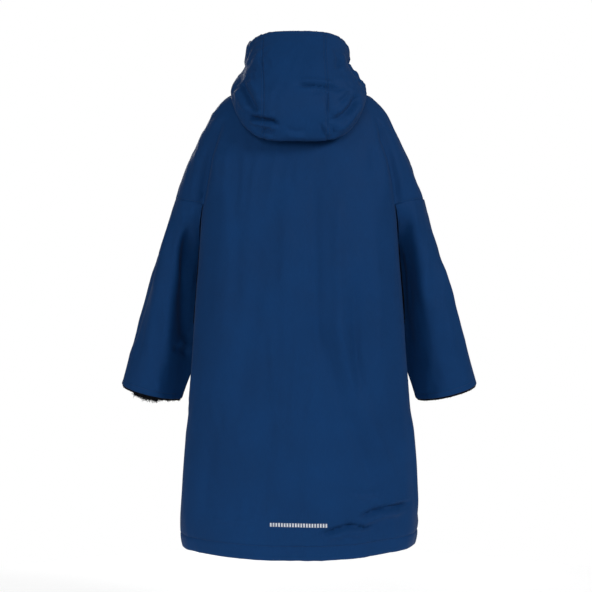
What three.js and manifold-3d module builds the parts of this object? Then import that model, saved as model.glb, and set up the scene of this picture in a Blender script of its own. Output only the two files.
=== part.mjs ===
// A changing robe with its hood down, hollow as when it is worn: every panel is its own cloth wall.
// Millimetres. +Z is up, the wearer faces -Y and the wearer's left is +X.
// The origin is the middle of the neck opening, level with the side of the neck seam.
import * as THREE from "three";
import Module from "manifold-3d";

const wasm = await Module();
wasm.setup();

const WALL = 3; // shell and its own backing
const FLEECE = 5;
const SEAM = 0.3; // between two pieces sewn together
const LEFT = 1;
const RIGHT = -1;

// ---------------------------------------------------------------- tables

const table = (names, rows) =>
  rows.map((row) => Object.fromEntries(names.map((name, i) => [name, row[i]])));

// Every column of a table at one value of its first column, on a smooth curve through the rows.
function section(rows, key, value) {
  const keys = rows.map((row) => row[key]);
  const rising = keys[1] > keys[0] ? 1 : -1;
  const last = keys.length - 1;
  const x = rising > 0
    ? Math.min(Math.max(value, keys[0]), keys[last])
    : Math.max(Math.min(value, keys[0]), keys[last]);
  let i = 0;
  while (i < last - 1 && rising * (x - keys[i + 1]) > 0) i += 1;
  const span = keys[i + 1] - keys[i];
  const t = (x - keys[i]) / span;
  const slope = (column, j) => {
    const a = Math.max(j - 1, 0);
    const b = Math.min(j + 1, last);
    return (rows[b][column] - rows[a][column]) / (keys[b] - keys[a]);
  };
  const hermite = (column) => {
    const t2 = t * t;
    const t3 = t2 * t;
    return rows[i][column] * (2 * t3 - 3 * t2 + 1)
      + rows[i + 1][column] * (3 * t2 - 2 * t3)
      + slope(column, i) * span * (t3 - 2 * t2 + t)
      + slope(column, i + 1) * span * (t3 - t2);
  };
  return Object.fromEntries(Object.keys(rows[0]).map((column) => [column, hermite(column)]));
}

const mix = (a, b, t) => a + (b - a) * t;
const smooth = (low, high, x) => {
  const t = Math.min(Math.max((x - low) / (high - low), 0), 1);
  return t * t * (3 - 2 * t);
};
const degrees = (angle) => (angle * Math.PI) / 180;

// ---------------------------------------------------------------- the body's and sleeves' forms

const HEM = -1155; // the trunk's last row

// The trunk: half its width, how far its back and front stand off, where its side lies, its squareness.
const TRUNK = table(["z", "half", "back", "front", "tip", "power"], [
  [0, 85, 72, 72, 0, 2.0],
  [-12, 117, 83, 80, 0, 2.05],
  [-25, 151, 91, 88, 0, 2.15],
  [-40, 184, 98, 96, 0, 2.25],
  [-70, 212, 108, 108, 0, 2.3],
  [-100, 229, 116, 117, 2, 2.35],
  [-150, 238, 127, 128, 5, 2.4],
  [-200, 240, 137, 135, 8, 2.4],
  [-305, 241, 149, 142, 16, 2.4],
  [-435, 247, 157, 147, 24, 2.4],
  [-560, 257, 161, 150, 25, 2.4],
  [-660, 264, 164, 152, 25, 2.4],
  [-800, 275, 167, 155, 24, 2.4],
  [-900, 284, 169, 158, 22, 2.4],
  [-1000, 291, 171, 161, 20, 2.4],
  [-1080, 293, 172, 163, 20, 2.4],
  [-1120, 292, 171, 163, 20, 2.4],
  [HEM, 287, 169, 162, 20, 2.4],
]);

// The arm inside the dropped shoulder and then the sleeve, by the height of its outermost line.
const ARM = table(["tip", "outer", "half", "depth", "y"], [
  [-60, 204, 68, 92, -6],
  [-100, 231, 70, 92, -8],
  [-130, 247, 72, 90, -10],
  [-160, 260, 73, 88, -13],
  [-200, 279, 75, 86, -16],
  [-252, 299, 77, 84, -20],
  [-287, 311, 79, 82, -24],
  [-365, 335, 81, 79, -30],
  [-440, 357, 81, 75, -34],
  [-515, 380, 81, 71, -38],
  [-590, 402, 80, 67, -41],
  [-665, 425, 79, 63, -43],
  [-750, 449, 77, 59, -44],
  [-800, 464, 77, 57, -45],
]);

const NECK_DROP = 45; // the neck seam at the front, below its side
const NECK_RISE = 8; // and above it at the back
const DROP_ENDS = -190;
const HEM_LIFT = 8; // the hem at the sides, above its own row
const HEM_SAG = 5; // and below it at the back and front
const HEM_CURVE_BEGINS = -900;
const ARMHOLE = -305; // the trunk's row at the underarm
const SHOULDER_ANGLE = 32; // where the armpit's fold begins, round the trunk
const ZIP_HALF = 5; // half the width left between the fronts

// The rings of the body above the armhole: the trunk's height, and the arm's outermost height.
const UPPER_ROWS = table(["z", "tip"], [
  [0, 0],
  [-12, -12],
  [-27, -27],
  [-46, -46],
  [-74, -73],
  [-110, -107],
  [-155, -149],
  [-205, -194],
  [-255, -240],
  [ARMHOLE, -287],
]);
const LOWER_ROWS = [ARMHOLE, -355, -420, -490, -565, -640, -720, -800, -880, -960, -1030, -1095, HEM];
// The rings of a sleeve, by the height of their outermost line. Each is square to the arm.
const SLEEVE_ROWS = [-287, -318, -365, -425, -490, -555, -620, -685, -750];
const ARM_SLOPE = 0.24; // how much lower a sleeve's ring is for each millimetre nearer the body
const CUFF_TILT = 0.16; // and, at the cuff, for each millimetre nearer the back
const TILT_BEGINS = -320;

const BACK_STEPS = 9; // round the body, from the middle of the back to the armpit's fold
const ARM_STEPS = 8;
const FRONT_STEPS = 6;
const UNDER_STEPS = 6; // under the arm, from the back fold to the front fold

const power = (value, exponent) => Math.sign(value) * Math.abs(value) ** exponent;

function trunkPoint(z, angle) {
  const s = section(TRUNK, "z", z);
  const round = 2 / s.power;
  const reach = Math.sin(angle) > 0 ? s.back - s.tip : s.front + s.tip;
  return {
    x: s.half * power(Math.cos(angle), round),
    y: s.tip + reach * power(Math.sin(angle), round),
  };
}

// How far out the trunk's side is at a depth y, or 0 beyond it.
function trunkSide(y, z) {
  const s = section(TRUNK, "z", z);
  const reach = y > s.tip ? s.back - s.tip : s.front + s.tip;
  const share = 1 - Math.abs((y - s.tip) / reach) ** s.power;
  return share > 0 ? s.half * share ** (1 / s.power) : 0;
}

const armPoint = (tip, angle) => {
  const s = section(ARM, "tip", tip);
  return {
    x: s.outer - s.half + s.half * Math.cos(angle),
    y: s.y + s.depth * Math.sin(angle),
  };
};

// The arm's angle at which it comes out of the trunk, for the back (1) or the front (-1).
function foldAngle(row, side) {
  let out = degrees(5);
  let inside = degrees(175);
  for (let i = 0; i < 40; i += 1) {
    const middle = (out + inside) / 2;
    const p = armPoint(row.tip, side * middle);
    if (p.x > trunkSide(p.y, row.z)) out = middle;
    else inside = middle;
  }
  return out;
}

// Round the trunk, the angle whose point is nearest in depth to y.
function trunkAngle(z, y) {
  const s = section(TRUNK, "z", z);
  const reach = y > s.tip ? s.back - s.tip : s.front + s.tip;
  return Math.asin(power(Math.min(Math.max((y - s.tip) / reach, -1), 1), s.power / 2));
}

// ---------------------------------------------------------------- large folds in the cloth

// Each runs between two points of the back (or front) and is a trough below 0 or a ridge above it.
const FOLDS = table(["face", "x1", "z1", "x2", "z2", "width", "height"], [
  [1, 28, -330, 40, -760, 30, 5],
  [1, 80, -400, 150, -900, 30, -6],
  [1, -36, -250, -44, -760, 24, -6],
  [1, -90, -300, -96, -700, 24, 5],
  [1, -136, -480, -150, -840, 22, -6],
  [1, -190, -330, -196, -820, 34, 5],
  [1, 185, -260, 196, -760, 30, 5],
  [-1, 70, -300, 90, -900, 34, -6],
  [-1, -60, -340, -84, -820, 34, -6],
  [-1, 150, -360, 160, -980, 36, 6],
  [-1, -150, -320, -165, -940, 36, 6],
]);
const FOLD_END = 0.22; // share of a fold's length over which it fades in and out

function foldHeight(x, y, z) {
  let total = 0;
  for (const fold of FOLDS) {
    const share = (z - fold.z1) / (fold.z2 - fold.z1);
    const middle = mix(fold.x1, fold.x2, share);
    const near = Math.exp(-(((x - middle) / fold.width) ** 2));
    const along = smooth(0, FOLD_END, share) * smooth(1, 1 - FOLD_END, share);
    if (fold.face * y > 0) total += fold.height * near * along;
  }
  return total;
}

// ---------------------------------------------------------------- rings of the body and sleeves

// How far a ring's front hangs below its side, and its back stands above it.
function neckline(z, y, reach) {
  const front = smooth(0, 1, -y / reach);
  const back = smooth(0, 1, y / reach);
  const near = smooth(DROP_ENDS, 0, z);
  return (NECK_RISE * back - NECK_DROP * front) * near;
}

// How far a ring near the hem is lifted at the sides and drops at the back and front.
function hemline(z, y, reach) {
  const near = smooth(HEM_CURVE_BEGINS, HEM, z);
  return mix(HEM_LIFT, -HEM_SAG, (y / reach) ** 2) * near;
}

function bodyVertex(x, y, z, side) {
  const s = section(TRUNK, "z", z);
  const out = new THREE.Vector2(x / s.half ** 2, y / s.back ** 2).normalize();
  const height = foldHeight(side * x, y, z);
  return new THREE.Vector3(
    side * (x + out.x * height),
    y + out.y * height,
    z + neckline(z, y, s.back) + hemline(z, y, s.back),
  );
}

// One ring's points on one side, middle back first. Above the armhole it goes round the arm.
function upperRing(row, side) {
  const isArm = smooth(-70, -130, row.z);
  const ends = [1, -1].map((face) => {
    const arm = foldAngle(row, face);
    const met = armPoint(row.tip, face * arm);
    const angle = Math.abs(trunkAngle(row.z, met.y));
    return { arm, trunk: mix(degrees(SHOULDER_ANGLE), angle, isArm) };
  });
  const [back, front] = ends;
  const armRing = [];
  for (let i = 0; i <= ARM_STEPS; i += 1) {
    const t = i / ARM_STEPS;
    const end = t < 0.5 ? back : front;
    const turn = 1 - 2 * t;
    const onTrunk = trunkPoint(row.z, end.trunk * turn);
    const onArm = armPoint(row.tip, end.arm * turn);
    const x = mix(onTrunk.x, onArm.x, isArm);
    const y = mix(onTrunk.y, onArm.y, isArm);
    armRing.push({ x, y });
  }
  const inner = armRing[0].x;
  const outer = Math.max(...armRing.map((p) => p.x));
  const arm = armRing.map((p) => {
    const out = Math.min(Math.max((p.x - inner) / (outer - inner), 0), 1);
    const v = bodyVertex(p.x, p.y, row.z, side);
    v.z += (row.tip - row.z) * out;
    return v;
  });
  const arc = (from, to, steps) => Array.from({ length: steps + 1 }, (_, i) => {
    const p = trunkPoint(row.z, mix(from, to, i / steps));
    return bodyVertex(p.x, p.y, row.z, side);
  });
  const quarter = Math.PI / 2;
  const backArc = arc(quarter, back.trunk, BACK_STEPS).slice(0, -1);
  const frontArc = arc(-front.trunk, -quarter, FRONT_STEPS).slice(1);
  backArc[0].x = 0;
  frontArc[FRONT_STEPS - 1].x = side * ZIP_HALF;
  return { back: backArc, arm, front: frontArc, ends };
}

function lowerRing(z, ends, side) {
  const [back, front] = ends;
  const quarter = Math.PI / 2;
  const arc = (from, to, steps) => Array.from({ length: steps + 1 }, (_, i) => {
    const p = trunkPoint(z, mix(from, to, i / steps));
    return bodyVertex(p.x, p.y, z, side);
  });
  const half = UNDER_STEPS / 2;
  const backArc = arc(quarter, back.trunk, BACK_STEPS);
  const under = [...arc(back.trunk, 0, half).slice(1), ...arc(0, -front.trunk, half).slice(1, -1)];
  const frontArc = arc(-front.trunk, -quarter, FRONT_STEPS);
  backArc[0].x = 0;
  frontArc[FRONT_STEPS].x = side * ZIP_HALF;
  return { back: backArc, under, front: frontArc };
}

const SLEEVE_CLEAR = 4; // between a sleeve and the trunk it hangs against

// One ring of a sleeve by its outermost height: round the arm, then back under it.
function sleeveRing(tip, top, side) {
  const s = section(ARM, "tip", tip);
  const freed = smooth(SLEEVE_ROWS[1], SLEEVE_ROWS[3], tip);
  const clear = mix(1, SLEEVE_CLEAR, smooth(SLEEVE_ROWS[0], SLEEVE_ROWS[2], tip));
  const tilt = CUFF_TILT * smooth(TILT_BEGINS, SLEEVE_ROWS[SLEEVE_ROWS.length - 1], tip);
  const place = (x, y) => {
    const z = tip - ARM_SLOPE * (s.outer - x) - tilt * (y - s.y);
    return new THREE.Vector3(side * Math.max(x, trunkSide(y, z) + clear), y, z);
  };
  const arm = [];
  for (let i = 0; i <= ARM_STEPS; i += 1) {
    const turn = 1 - (2 * i) / ARM_STEPS;
    const p = armPoint(tip, (turn > 0 ? top.back : top.front).arm * turn);
    arm.push(place(p.x, p.y));
  }
  const under = [];
  for (let i = 1; i < UNDER_STEPS; i += 1) {
    const angle = mix(top.back.arm, 2 * Math.PI - top.front.arm, i / UNDER_STEPS);
    const free = armPoint(tip, angle);
    const held = top.under[i - 1];
    under.push(place(mix(Math.abs(held.x), free.x, freed), mix(held.y, free.y, freed)));
  }
  return { arm, under };
}

// ---------------------------------------------------------------- cloth walls

const SHARPEST = 0.4; // a panel's corner is drawn in only where its two edges are no sharper

// A surface is a set of four-sided faces on shared points; each face belongs to a panel.
class Surface {
  constructor() {
    this.points = new Map();
    this.faces = [];
  }

  point(key, position) {
    if (!this.points.has(key)) this.points.set(key, { position, normal: new THREE.Vector3() });
  }

  face(panel, row, column, keys, outward) {
    const order = outward > 0 ? keys : [keys[0], keys[3], keys[2], keys[1]];
    this.faces.push({ panel, row, column, keys: order });
    const [a, b, c, d] = order.map((key) => this.points.get(key).position);
    const across = new THREE.Vector3().subVectors(c, a);
    const normal = new THREE.Vector3().subVectors(d, b).cross(across).negate();
    for (const key of order) this.points.get(key).normal.add(normal);
  }

  // The closed wall of some faces, from `from` to `to` inside the surface, its edges drawn in.
  wall(from, to, belongs) {
    const faces = this.faces.filter(belongs);
    const edges = new Map();
    for (const { keys } of faces) {
      keys.forEach((key, i) => {
        const next = keys[(i + 1) % keys.length];
        if (edges.has(`${next}|${key}`)) edges.delete(`${next}|${key}`);
        else edges.set(`${key}|${next}`, [key, next]);
      });
    }
    const inward = new Map();
    for (const [a, b] of edges.values()) {
      for (const key of [a, b]) {
        const { normal } = this.points.get(key);
        const along = new THREE.Vector3()
          .subVectors(this.points.get(b).position, this.points.get(a).position);
        const pull = new THREE.Vector3().crossVectors(normal.clone().normalize(), along).normalize();
        inward.set(key, [...(inward.get(key) ?? []), pull]);
      }
    }
    const index = new Map();
    const positions = [];
    const keys = new Set(faces.flatMap((face) => face.keys));
    for (const key of keys) {
      const { position, normal } = this.points.get(key);
      const base = position.clone();
      const pulls = inward.get(key);
      if (pulls && pulls.length === 2) {
        const share = 1 + pulls[0].dot(pulls[1]);
        if (share > SHARPEST) base.addScaledVector(pulls[0].clone().add(pulls[1]), SEAM / 2 / share);
      }
      const unit = normal.clone().normalize();
      index.set(key, positions.length / 6);
      positions.push(...base.clone().addScaledVector(unit, -from).toArray());
      positions.push(...base.clone().addScaledVector(unit, -to).toArray());
    }
    const triangles = [];
    const outer = (key) => index.get(key) * 2;
    const inner = (key) => index.get(key) * 2 + 1;
    for (const { keys: [a, b, c, d] } of faces) {
      triangles.push(outer(a), outer(b), outer(c), outer(a), outer(c), outer(d));
      triangles.push(inner(c), inner(b), inner(a), inner(d), inner(c), inner(a));
    }
    // Both panels at a seam split its twisted edge the same way, so their edges stay apart.
    for (const [a, b] of edges.values()) {
      if (a < b) triangles.push(outer(b), outer(a), inner(b), outer(a), inner(a), inner(b));
      else triangles.push(outer(b), outer(a), inner(a), outer(b), inner(a), inner(b));
    }
    const geometry = new THREE.BufferGeometry();
    geometry.setAttribute("position", new THREE.Float32BufferAttribute(positions, 3));
    geometry.setIndex(triangles);
    return geometry;
  }
}

// Faces between two rows of keys. `turn` is 1 where the rows run anticlockwise seen from outside.
function bridgeRows(surface, panelOf, upper, lower, turn, row = 0) {
  for (let i = 0; i < upper.length - 1; i += 1) {
    surface.face(panelOf(i), row, i, [lower[i], lower[i + 1], upper[i + 1], upper[i]], turn);
  }
}

// ---------------------------------------------------------------- materials and the group

const cloth = (color, roughness) => new THREE.MeshStandardMaterial({ color, roughness, metalness: 0 });
const MATERIALS = {
  shell: cloth(0x143260, 0.6),
  fleece: cloth(0x0c0d14, 1.0),
  reflective: cloth(0xc8ccd0, 0.4),
  zip_tape: cloth(0x0c1626, 0.8),
  zip_plastic: cloth(0x10141c, 0.4),
};

const robe = new THREE.Group();
robe.name = "changing_robe";

function addMesh(name, geometry, material) {
  const mesh = new THREE.Mesh(geometry, MATERIALS[material]);
  mesh.name = name;
  robe.add(mesh);
  return mesh;
}

// ---------------------------------------------------------------- body and sleeves

const skin = new Surface();
const frontLine = []; // the body's middle front, top first

const key = (piece, side, row, column) => `${piece}:${side}:${row}:${column}`;
const bodyKey = (side, row, column) => key("body", column === 0 ? 0 : side, row, column);
const armBegins = BACK_STEPS;
const armEnds = BACK_STEPS + ARM_STEPS;
const lastUpper = UPPER_ROWS.length - 1;

function buildBody(side) {
  const name = side === LEFT ? "left" : "right";
  const front = `front_${name}`;
  const rows = UPPER_ROWS.map((row, r) => {
    const ring = upperRing(row, side);
    const points = [...ring.back, ...ring.arm, ...ring.front];
    const keys = points.map((point, column) => {
      const k = bodyKey(side, r, column);
      skin.point(k, point);
      return k;
    });
    return { ring, keys, points };
  });
  const upperPanel = (column) => (column < armBegins + ARM_STEPS / 2 ? "back" : front);
  for (let r = 0; r < lastUpper; r += 1) {
    bridgeRows(skin, upperPanel, rows[r].keys, rows[r + 1].keys, -side);
  }
  const split = rows[lastUpper];
  const { ends } = split.ring;

  // Below the armhole the trunk closes under the arm.
  let above = null;
  let underarm = [];
  LOWER_ROWS.forEach((z, r) => {
    const ring = lowerRing(z, ends, side);
    if (r === 0) {
      const under = ring.under.map((point, i) => {
        const k = key("under", side, 0, i);
        skin.point(k, point);
        return k;
      });
      underarm = ring.under;
      above = [...split.keys.slice(0, armBegins + 1), ...under, ...split.keys.slice(armEnds)];
      return;
    }
    const points = [...ring.back, ...ring.under, ...ring.front];
    const keys = points.map((point, column) => {
      const k = bodyKey(side, lastUpper + r, column);
      skin.point(k, point);
      return k;
    });
    const seam = BACK_STEPS + UNDER_STEPS / 2;
    bridgeRows(skin, (column) => (column < seam ? "back" : front), above, keys, -side);
    above = keys;
    if (side === LEFT) frontLine.push(points[points.length - 1]);
  });
  if (side === LEFT) frontLine.unshift(...rows.map((row) => row.points[row.points.length - 1]));
  const [backEnd, frontEnd] = ends;
  const armhole = split.keys.slice(armBegins, armEnds + 1);
  return { name, armhole, under: underarm, back: backEnd, front: frontEnd };
}

function buildSleeve(side, body) {
  const panel = `sleeve_${body.name}`;
  const seamPoint = (point) => point.clone().add(new THREE.Vector3(side, 0, -SEAM));
  let above = null;
  SLEEVE_ROWS.forEach((tip, r) => {
    const ring = sleeveRing(tip, body, side);
    if (r === 0) {
      ring.under = body.under.map(seamPoint);
      for (const end of [0, ARM_STEPS]) {
        ring.arm[end] = seamPoint(skin.points.get(body.armhole[end]).position);
      }
    }
    const arm = ring.arm.map((point, i) => {
      const shared = r === 0 && i > 0 && i < ARM_STEPS;
      if (shared) return body.armhole[i];
      const k = key("sleeve", side, r, i);
      skin.point(k, point);
      return k;
    });
    const under = ring.under.map((point, i) => {
      const k = key("sleeve_under", side, r, i);
      skin.point(k, point);
      return k;
    });
    const keys = [...arm, ...under.reverse(), arm[0]];
    if (above) bridgeRows(skin, () => panel, above, keys, -side);
    above = keys;
  });
  return panel;
}

const bodies = [LEFT, RIGHT].map((side) => ({ side, ...buildBody(side) }));
const panels = ["back"];
for (const body of bodies) panels.push(`front_${body.name}`, buildSleeve(body.side, body));
for (const panel of panels) {
  addMesh(panel, skin.wall(0, WALL, (face) => face.panel === panel), "shell");
}

// ---------------------------------------------------------------- cuff linings

const CUFF_DEPTH = 40; // up the inside of the sleeve
const CUFF_SHOWS = 4; // below the sleeve's own edge
const CUFF_GAP = 0.6; // between the sleeve and its lining

function cuffLining(body) {
  const { side } = body;
  const surface = new Surface();
  const cuff = SLEEVE_ROWS[SLEEVE_ROWS.length - 1];
  let above = null;
  for (const [r, up] of [CUFF_DEPTH, -CUFF_SHOWS].entries()) {
    const ring = sleeveRing(cuff + up, body, side);
    const points = [...ring.arm, ...ring.under.reverse()];
    const keys = points.map((point, i) => {
      const k = key("cuff", side, r, i);
      surface.point(k, point);
      return k;
    });
    keys.push(keys[0]);
    if (above) bridgeRows(surface, () => "cuff", above, keys, -side);
    above = keys;
  }
  const inside = WALL + CUFF_GAP;
  addMesh(`cuff_lining_${body.name}`, surface.wall(inside, inside + FLEECE, () => true), "fleece");
}

bodies.forEach(cuffLining);

// ---------------------------------------------------------------- hood

// Rings of the lowered hood, from the neck seam down its under side, round its lip and up to the rim.
const HOOD = table(
  ["stage", "half", "back", "tip", "power", "flat", "zBack", "zSide", "collar", "front", "zFront"],
  [
    [0, 85, 72, 0, 2.0, 2, NECK_RISE, 0, 85, 72, -NECK_DROP],
    [1, 122, 106, 12, 2.0, 2, -20, 0, 88, 75, -38],
    [2, 154, 130, 36, 2.1, 2.4, -100, -20, 90, 77, -31],
    [2.6, 163, 139, 50, 2.2, 2.5, -142, -31, 91, 78, -27],
    [3, 168, 152, 58, 2.3, 2.6, -159, -38, 92, 79, -23],
    [3.5, 171, 172, 62, 2.35, 2.6, -158, -38, 93, 80, -20],
    [4, 168, 185, 64, 2.4, 2.6, -134, -30, 94, 81, -16],
    [5, 159, 194, 62, 2.4, 2.6, -84, -12, 97, 83, -8],
    [6, 145, 187, 50, 2.4, 2.6, -30, 10, 100, 85, 0],
    [7, 131, 167, 30, 2.5, 2.8, 22, 34, 103, 87, 8],
    [8, 128, 141, 16, 2.7, 3.0, 66, 62, 106, 89, 15],
    [9, 127, 119, 6, 2.8, 3.2, 97, 84, 108, 91, 23],
    [10, 119, 106, 0, 2.8, 3.4, 113, 97, 108, 92, 30],
  ],
);
const HOOD_STAGES = [0, 0.25, 0.6, 1, 1.5, 2, 2.6, 3, 3.25, 3.5, 4, 5, 6, 7, 8, 9, 10];
const LINED_FROM = 6; // the lowest stage whose inside shows
const PANEL_SEAM = 76; // from the middle to each of the hood's two long seams
const SEAM_LEAN = 9; // both lie this much nearer the wearer's left
const SEAM_AT_NECK = 48;
const CENTRE_STEPS = 3;
const SIDE_STEPS = 9;
const HOOD_CLEAR = 8; // above the shoulders that the hood lies on
const NECK_GAP = 1.2; // the neck seam holds several layers

// The height of the shoulders under a point.
function shoulderHeight(x, y) {
  let high = 0;
  let low = -400;
  for (let i = 0; i < 30; i += 1) {
    const z = (high + low) / 2;
    if (Math.abs(x) < trunkSide(y, z)) low = z;
    else high = z;
  }
  return high + neckline(high, y, section(TRUNK, "z", high).back);
}

function hoodPoint(stage, angle, side) {
  const s = section(HOOD, "stage", stage);
  const round = 2 / s.power;
  const forward = Math.max(-Math.sin(angle), 0);
  const half = mix(s.half, s.collar, smooth(0, 0.75, forward));
  const reach = angle > 0 ? s.back - s.tip : s.front + s.tip;
  const x = half * power(Math.cos(angle), round);
  const y = s.tip + reach * power(Math.sin(angle), round);
  const across = Math.abs(x / half) ** s.flat;
  let z = angle > 0
    ? mix(s.zBack, s.zSide, across)
    : mix(s.zSide, s.zFront, (s.tip - y) / (s.tip + s.front));
  z = mix(neckline(0, y, s.back), z, smooth(0, 1, stage));
  if (stage > 0) z = Math.max(z, shoulderHeight(x, y) + HOOD_CLEAR * smooth(0, 0.5, stage));
  return new THREE.Vector3(side * x, y, z + NECK_GAP);
}

const hood = new Surface();
const collarLine = []; // the hood's middle front, neck seam first

function buildHood(side) {
  const sidePanel = side === LEFT ? "hood_side_left" : "hood_side_right";
  const quarter = Math.PI / 2;
  let above = null;
  HOOD_STAGES.forEach((stage, r) => {
    const s = section(HOOD, "stage", stage);
    const seamX = mix(SEAM_AT_NECK, PANEL_SEAM + side * SEAM_LEAN, smooth(0, 3, stage));
    const seam = Math.acos((seamX / s.half) ** (s.power / 2));
    const angles = [];
    for (let i = 0; i < CENTRE_STEPS; i += 1) angles.push(mix(quarter, seam, i / CENTRE_STEPS));
    for (let i = 0; i <= SIDE_STEPS; i += 1) angles.push(mix(seam, -quarter, i / SIDE_STEPS));
    const points = angles.map((angle) => hoodPoint(stage, angle, side));
    points[0].x = 0;
    points[points.length - 1].x = side * ZIP_HALF;
    if (side === LEFT) collarLine.push(points[points.length - 1]);
    const keys = points.map((point, column) => {
      const k = key("hood", column === 0 ? 0 : side, r, column);
      hood.point(k, point);
      return k;
    });
    const panelOf = (column) => (column < CENTRE_STEPS ? "hood_centre" : sidePanel);
    if (above) bridgeRows(hood, panelOf, above, keys, side, stage);
    above = keys;
  });
}

buildHood(LEFT);
buildHood(RIGHT);
for (const panel of ["hood_centre", "hood_side_left", "hood_side_right"]) {
  addMesh(panel, hood.wall(0, WALL, (face) => face.panel === panel), "shell");
}

// The lining backs the hood above its lip, and stops beside the zip.
const lined = (face) => face.row > LINED_FROM && face.column < CENTRE_STEPS + SIDE_STEPS - 1;
const liningInside = WALL + 0.6;
addMesh("hood_lining", hood.wall(liningInside, liningInside + FLEECE, lined), "fleece");

// ---------------------------------------------------------------- reflective strip on the back

const STRIP = { half: 72, middle: -1074, height: 10, thick: 0.8, above: 0.6, steps: 12 };

function backPoint(x, z) {
  const s = section(TRUNK, "z", z);
  const share = 1 - Math.abs(x / s.half) ** s.power;
  const y = s.tip + (s.back - s.tip) * share ** (1 / s.power);
  return new THREE.Vector3(x, y, z + hemline(z, y, s.back));
}

function reflectiveStrip() {
  const surface = new Surface();
  let above = null;
  for (const r of [0, 1]) {
    const z = STRIP.middle + STRIP.height * (0.5 - r);
    const keys = [];
    for (let i = 0; i <= STRIP.steps; i += 1) {
      const k = key("strip", 0, r, i);
      surface.point(k, backPoint(mix(-STRIP.half, STRIP.half, i / STRIP.steps), z));
      keys.push(k);
    }
    if (above) bridgeRows(surface, () => "strip", above, keys, -1);
    above = keys;
  }
  const geometry = surface.wall(-STRIP.above - STRIP.thick, -STRIP.above, () => true);
  addMesh("reflective_strip", geometry, "reflective");
}

reflectiveStrip();

// ---------------------------------------------------------------- front zip

// The middle front from the chin to the hem, as points (y, z) with their outward normals.
const ZIP_STEP = 6; // closest that two of its points come
const CHIN_SHORT = 0.15; // share of its end steps by which it stops short at the chin
const HEM_SHORT = 0.3; // and at the hem
const zipLine = [];
for (const point of [...collarLine.reverse(), ...frontLine]) {
  const p = new THREE.Vector2(point.y, point.z);
  const before = zipLine[zipLine.length - 1];
  if (!before || before.distanceTo(p) > ZIP_STEP) zipLine.push(p);
}
zipLine[0].lerp(zipLine[1], CHIN_SHORT);
zipLine[zipLine.length - 1].lerp(zipLine[zipLine.length - 2], HEM_SHORT);
const zipNormals = zipLine.map((_, i) => {
  const a = zipLine[Math.max(i - 1, 0)];
  const b = zipLine[Math.min(i + 1, zipLine.length - 1)];
  const along = b.clone().sub(a).normalize();
  return new THREE.Vector2(along.y, -along.x);
});

// A strip down the front between two depths below the cloth's outer face.
function zipStrip(x0, x1, from, to) {
  const positions = [];
  const triangles = [];
  zipLine.forEach((p, i) => {
    const outer = p.clone().addScaledVector(zipNormals[i], -from);
    const inner = p.clone().addScaledVector(zipNormals[i], -to);
    for (const [x, face] of [[x0, outer], [x1, outer], [x1, inner], [x0, inner]]) {
      positions.push(x, face.x, face.y);
    }
    const here = 4 * i;
    for (let k = 0; k < 4 && i > 0; k += 1) {
      const next = (k + 1) % 4;
      const before = here - 4;
      triangles.push(before + k, here + k, here + next, before + k, here + next, before + next);
    }
  });
  const end = positions.length / 3 - 4;
  triangles.push(0, 1, 2, 0, 2, 3, end, end + 2, end + 1, end, end + 3, end + 2);
  const geometry = new THREE.BufferGeometry();
  geometry.setAttribute("position", new THREE.Float32BufferAttribute(positions, 3));
  geometry.setIndex(triangles);
  return geometry;
}

const CHAIN_HALF = 3;
const TAPE_HALF = 17;
const TAPE_THICK = 1;
const CHAIN_PROUD = 0.3; // the chain stands this far out of the cloth
const tapeFrom = WALL + 3; // behind the fronts' own edges
const tapeTo = tapeFrom + TAPE_THICK;
const tapeInner = CHAIN_HALF + SEAM;
addMesh("zip_chain", zipStrip(-CHAIN_HALF, CHAIN_HALF, -CHAIN_PROUD, tapeTo), "zip_plastic");
addMesh("zip_tape_left", zipStrip(tapeInner, TAPE_HALF, tapeFrom, tapeTo), "zip_tape");
addMesh("zip_tape_right", zipStrip(-TAPE_HALF, -tapeInner, tapeFrom, tapeTo), "zip_tape");

// ---------------------------------------------------------------- slider and pull tab

function solid(geometry) {
  const position = geometry.getAttribute("position");
  const seen = new Map();
  const vertices = [];
  const remap = [];
  for (let i = 0; i < position.count; i += 1) {
    const xyz = [position.getX(i), position.getY(i), position.getZ(i)];
    const name = xyz.map((v) => v.toFixed(4)).join();
    if (!seen.has(name)) {
      seen.set(name, vertices.length / 3);
      vertices.push(...xyz);
    }
    remap.push(seen.get(name));
  }
  const index = geometry.index ? [...geometry.index.array] : remap.map((_, i) => i);
  const triangles = index.map((i) => remap[i]);
  const kept = [];
  for (let i = 0; i < triangles.length; i += 3) {
    const [a, b, c] = triangles.slice(i, i + 3);
    if (a !== b && b !== c && c !== a) kept.push(a, b, c);
  }
  return new wasm.Manifold(new wasm.Mesh({
    numProp: 3,
    vertProperties: new Float32Array(vertices),
    triVerts: new Uint32Array(kept),
  }));
}

function geometryOf(manifold) {
  const mesh = manifold.getMesh();
  const geometry = new THREE.BufferGeometry();
  geometry.setAttribute("position", new THREE.BufferAttribute(new Float32Array(mesh.vertProperties), 3));
  geometry.setIndex(new THREE.BufferAttribute(new Uint32Array(mesh.triVerts), 1));
  return geometry;
}

const PIN_RADIUS = 1;
const EYE_INNER = 1.4;
const EYE_OUTER = 2.6;
const PULL = { half: 3.5, length: 32, thick: 1.6 };
const CHEEK = { from: 4, to: 5.4, half: 2.2, past: 1.3 };
const SLIDER = { half: 6, high: 14, thick: 2.4 };
const PIN_OUT = 6.1; // from the slider's back to the pin
const PIN_OVERLAP = 0.5; // of the pin in each cheek

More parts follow.
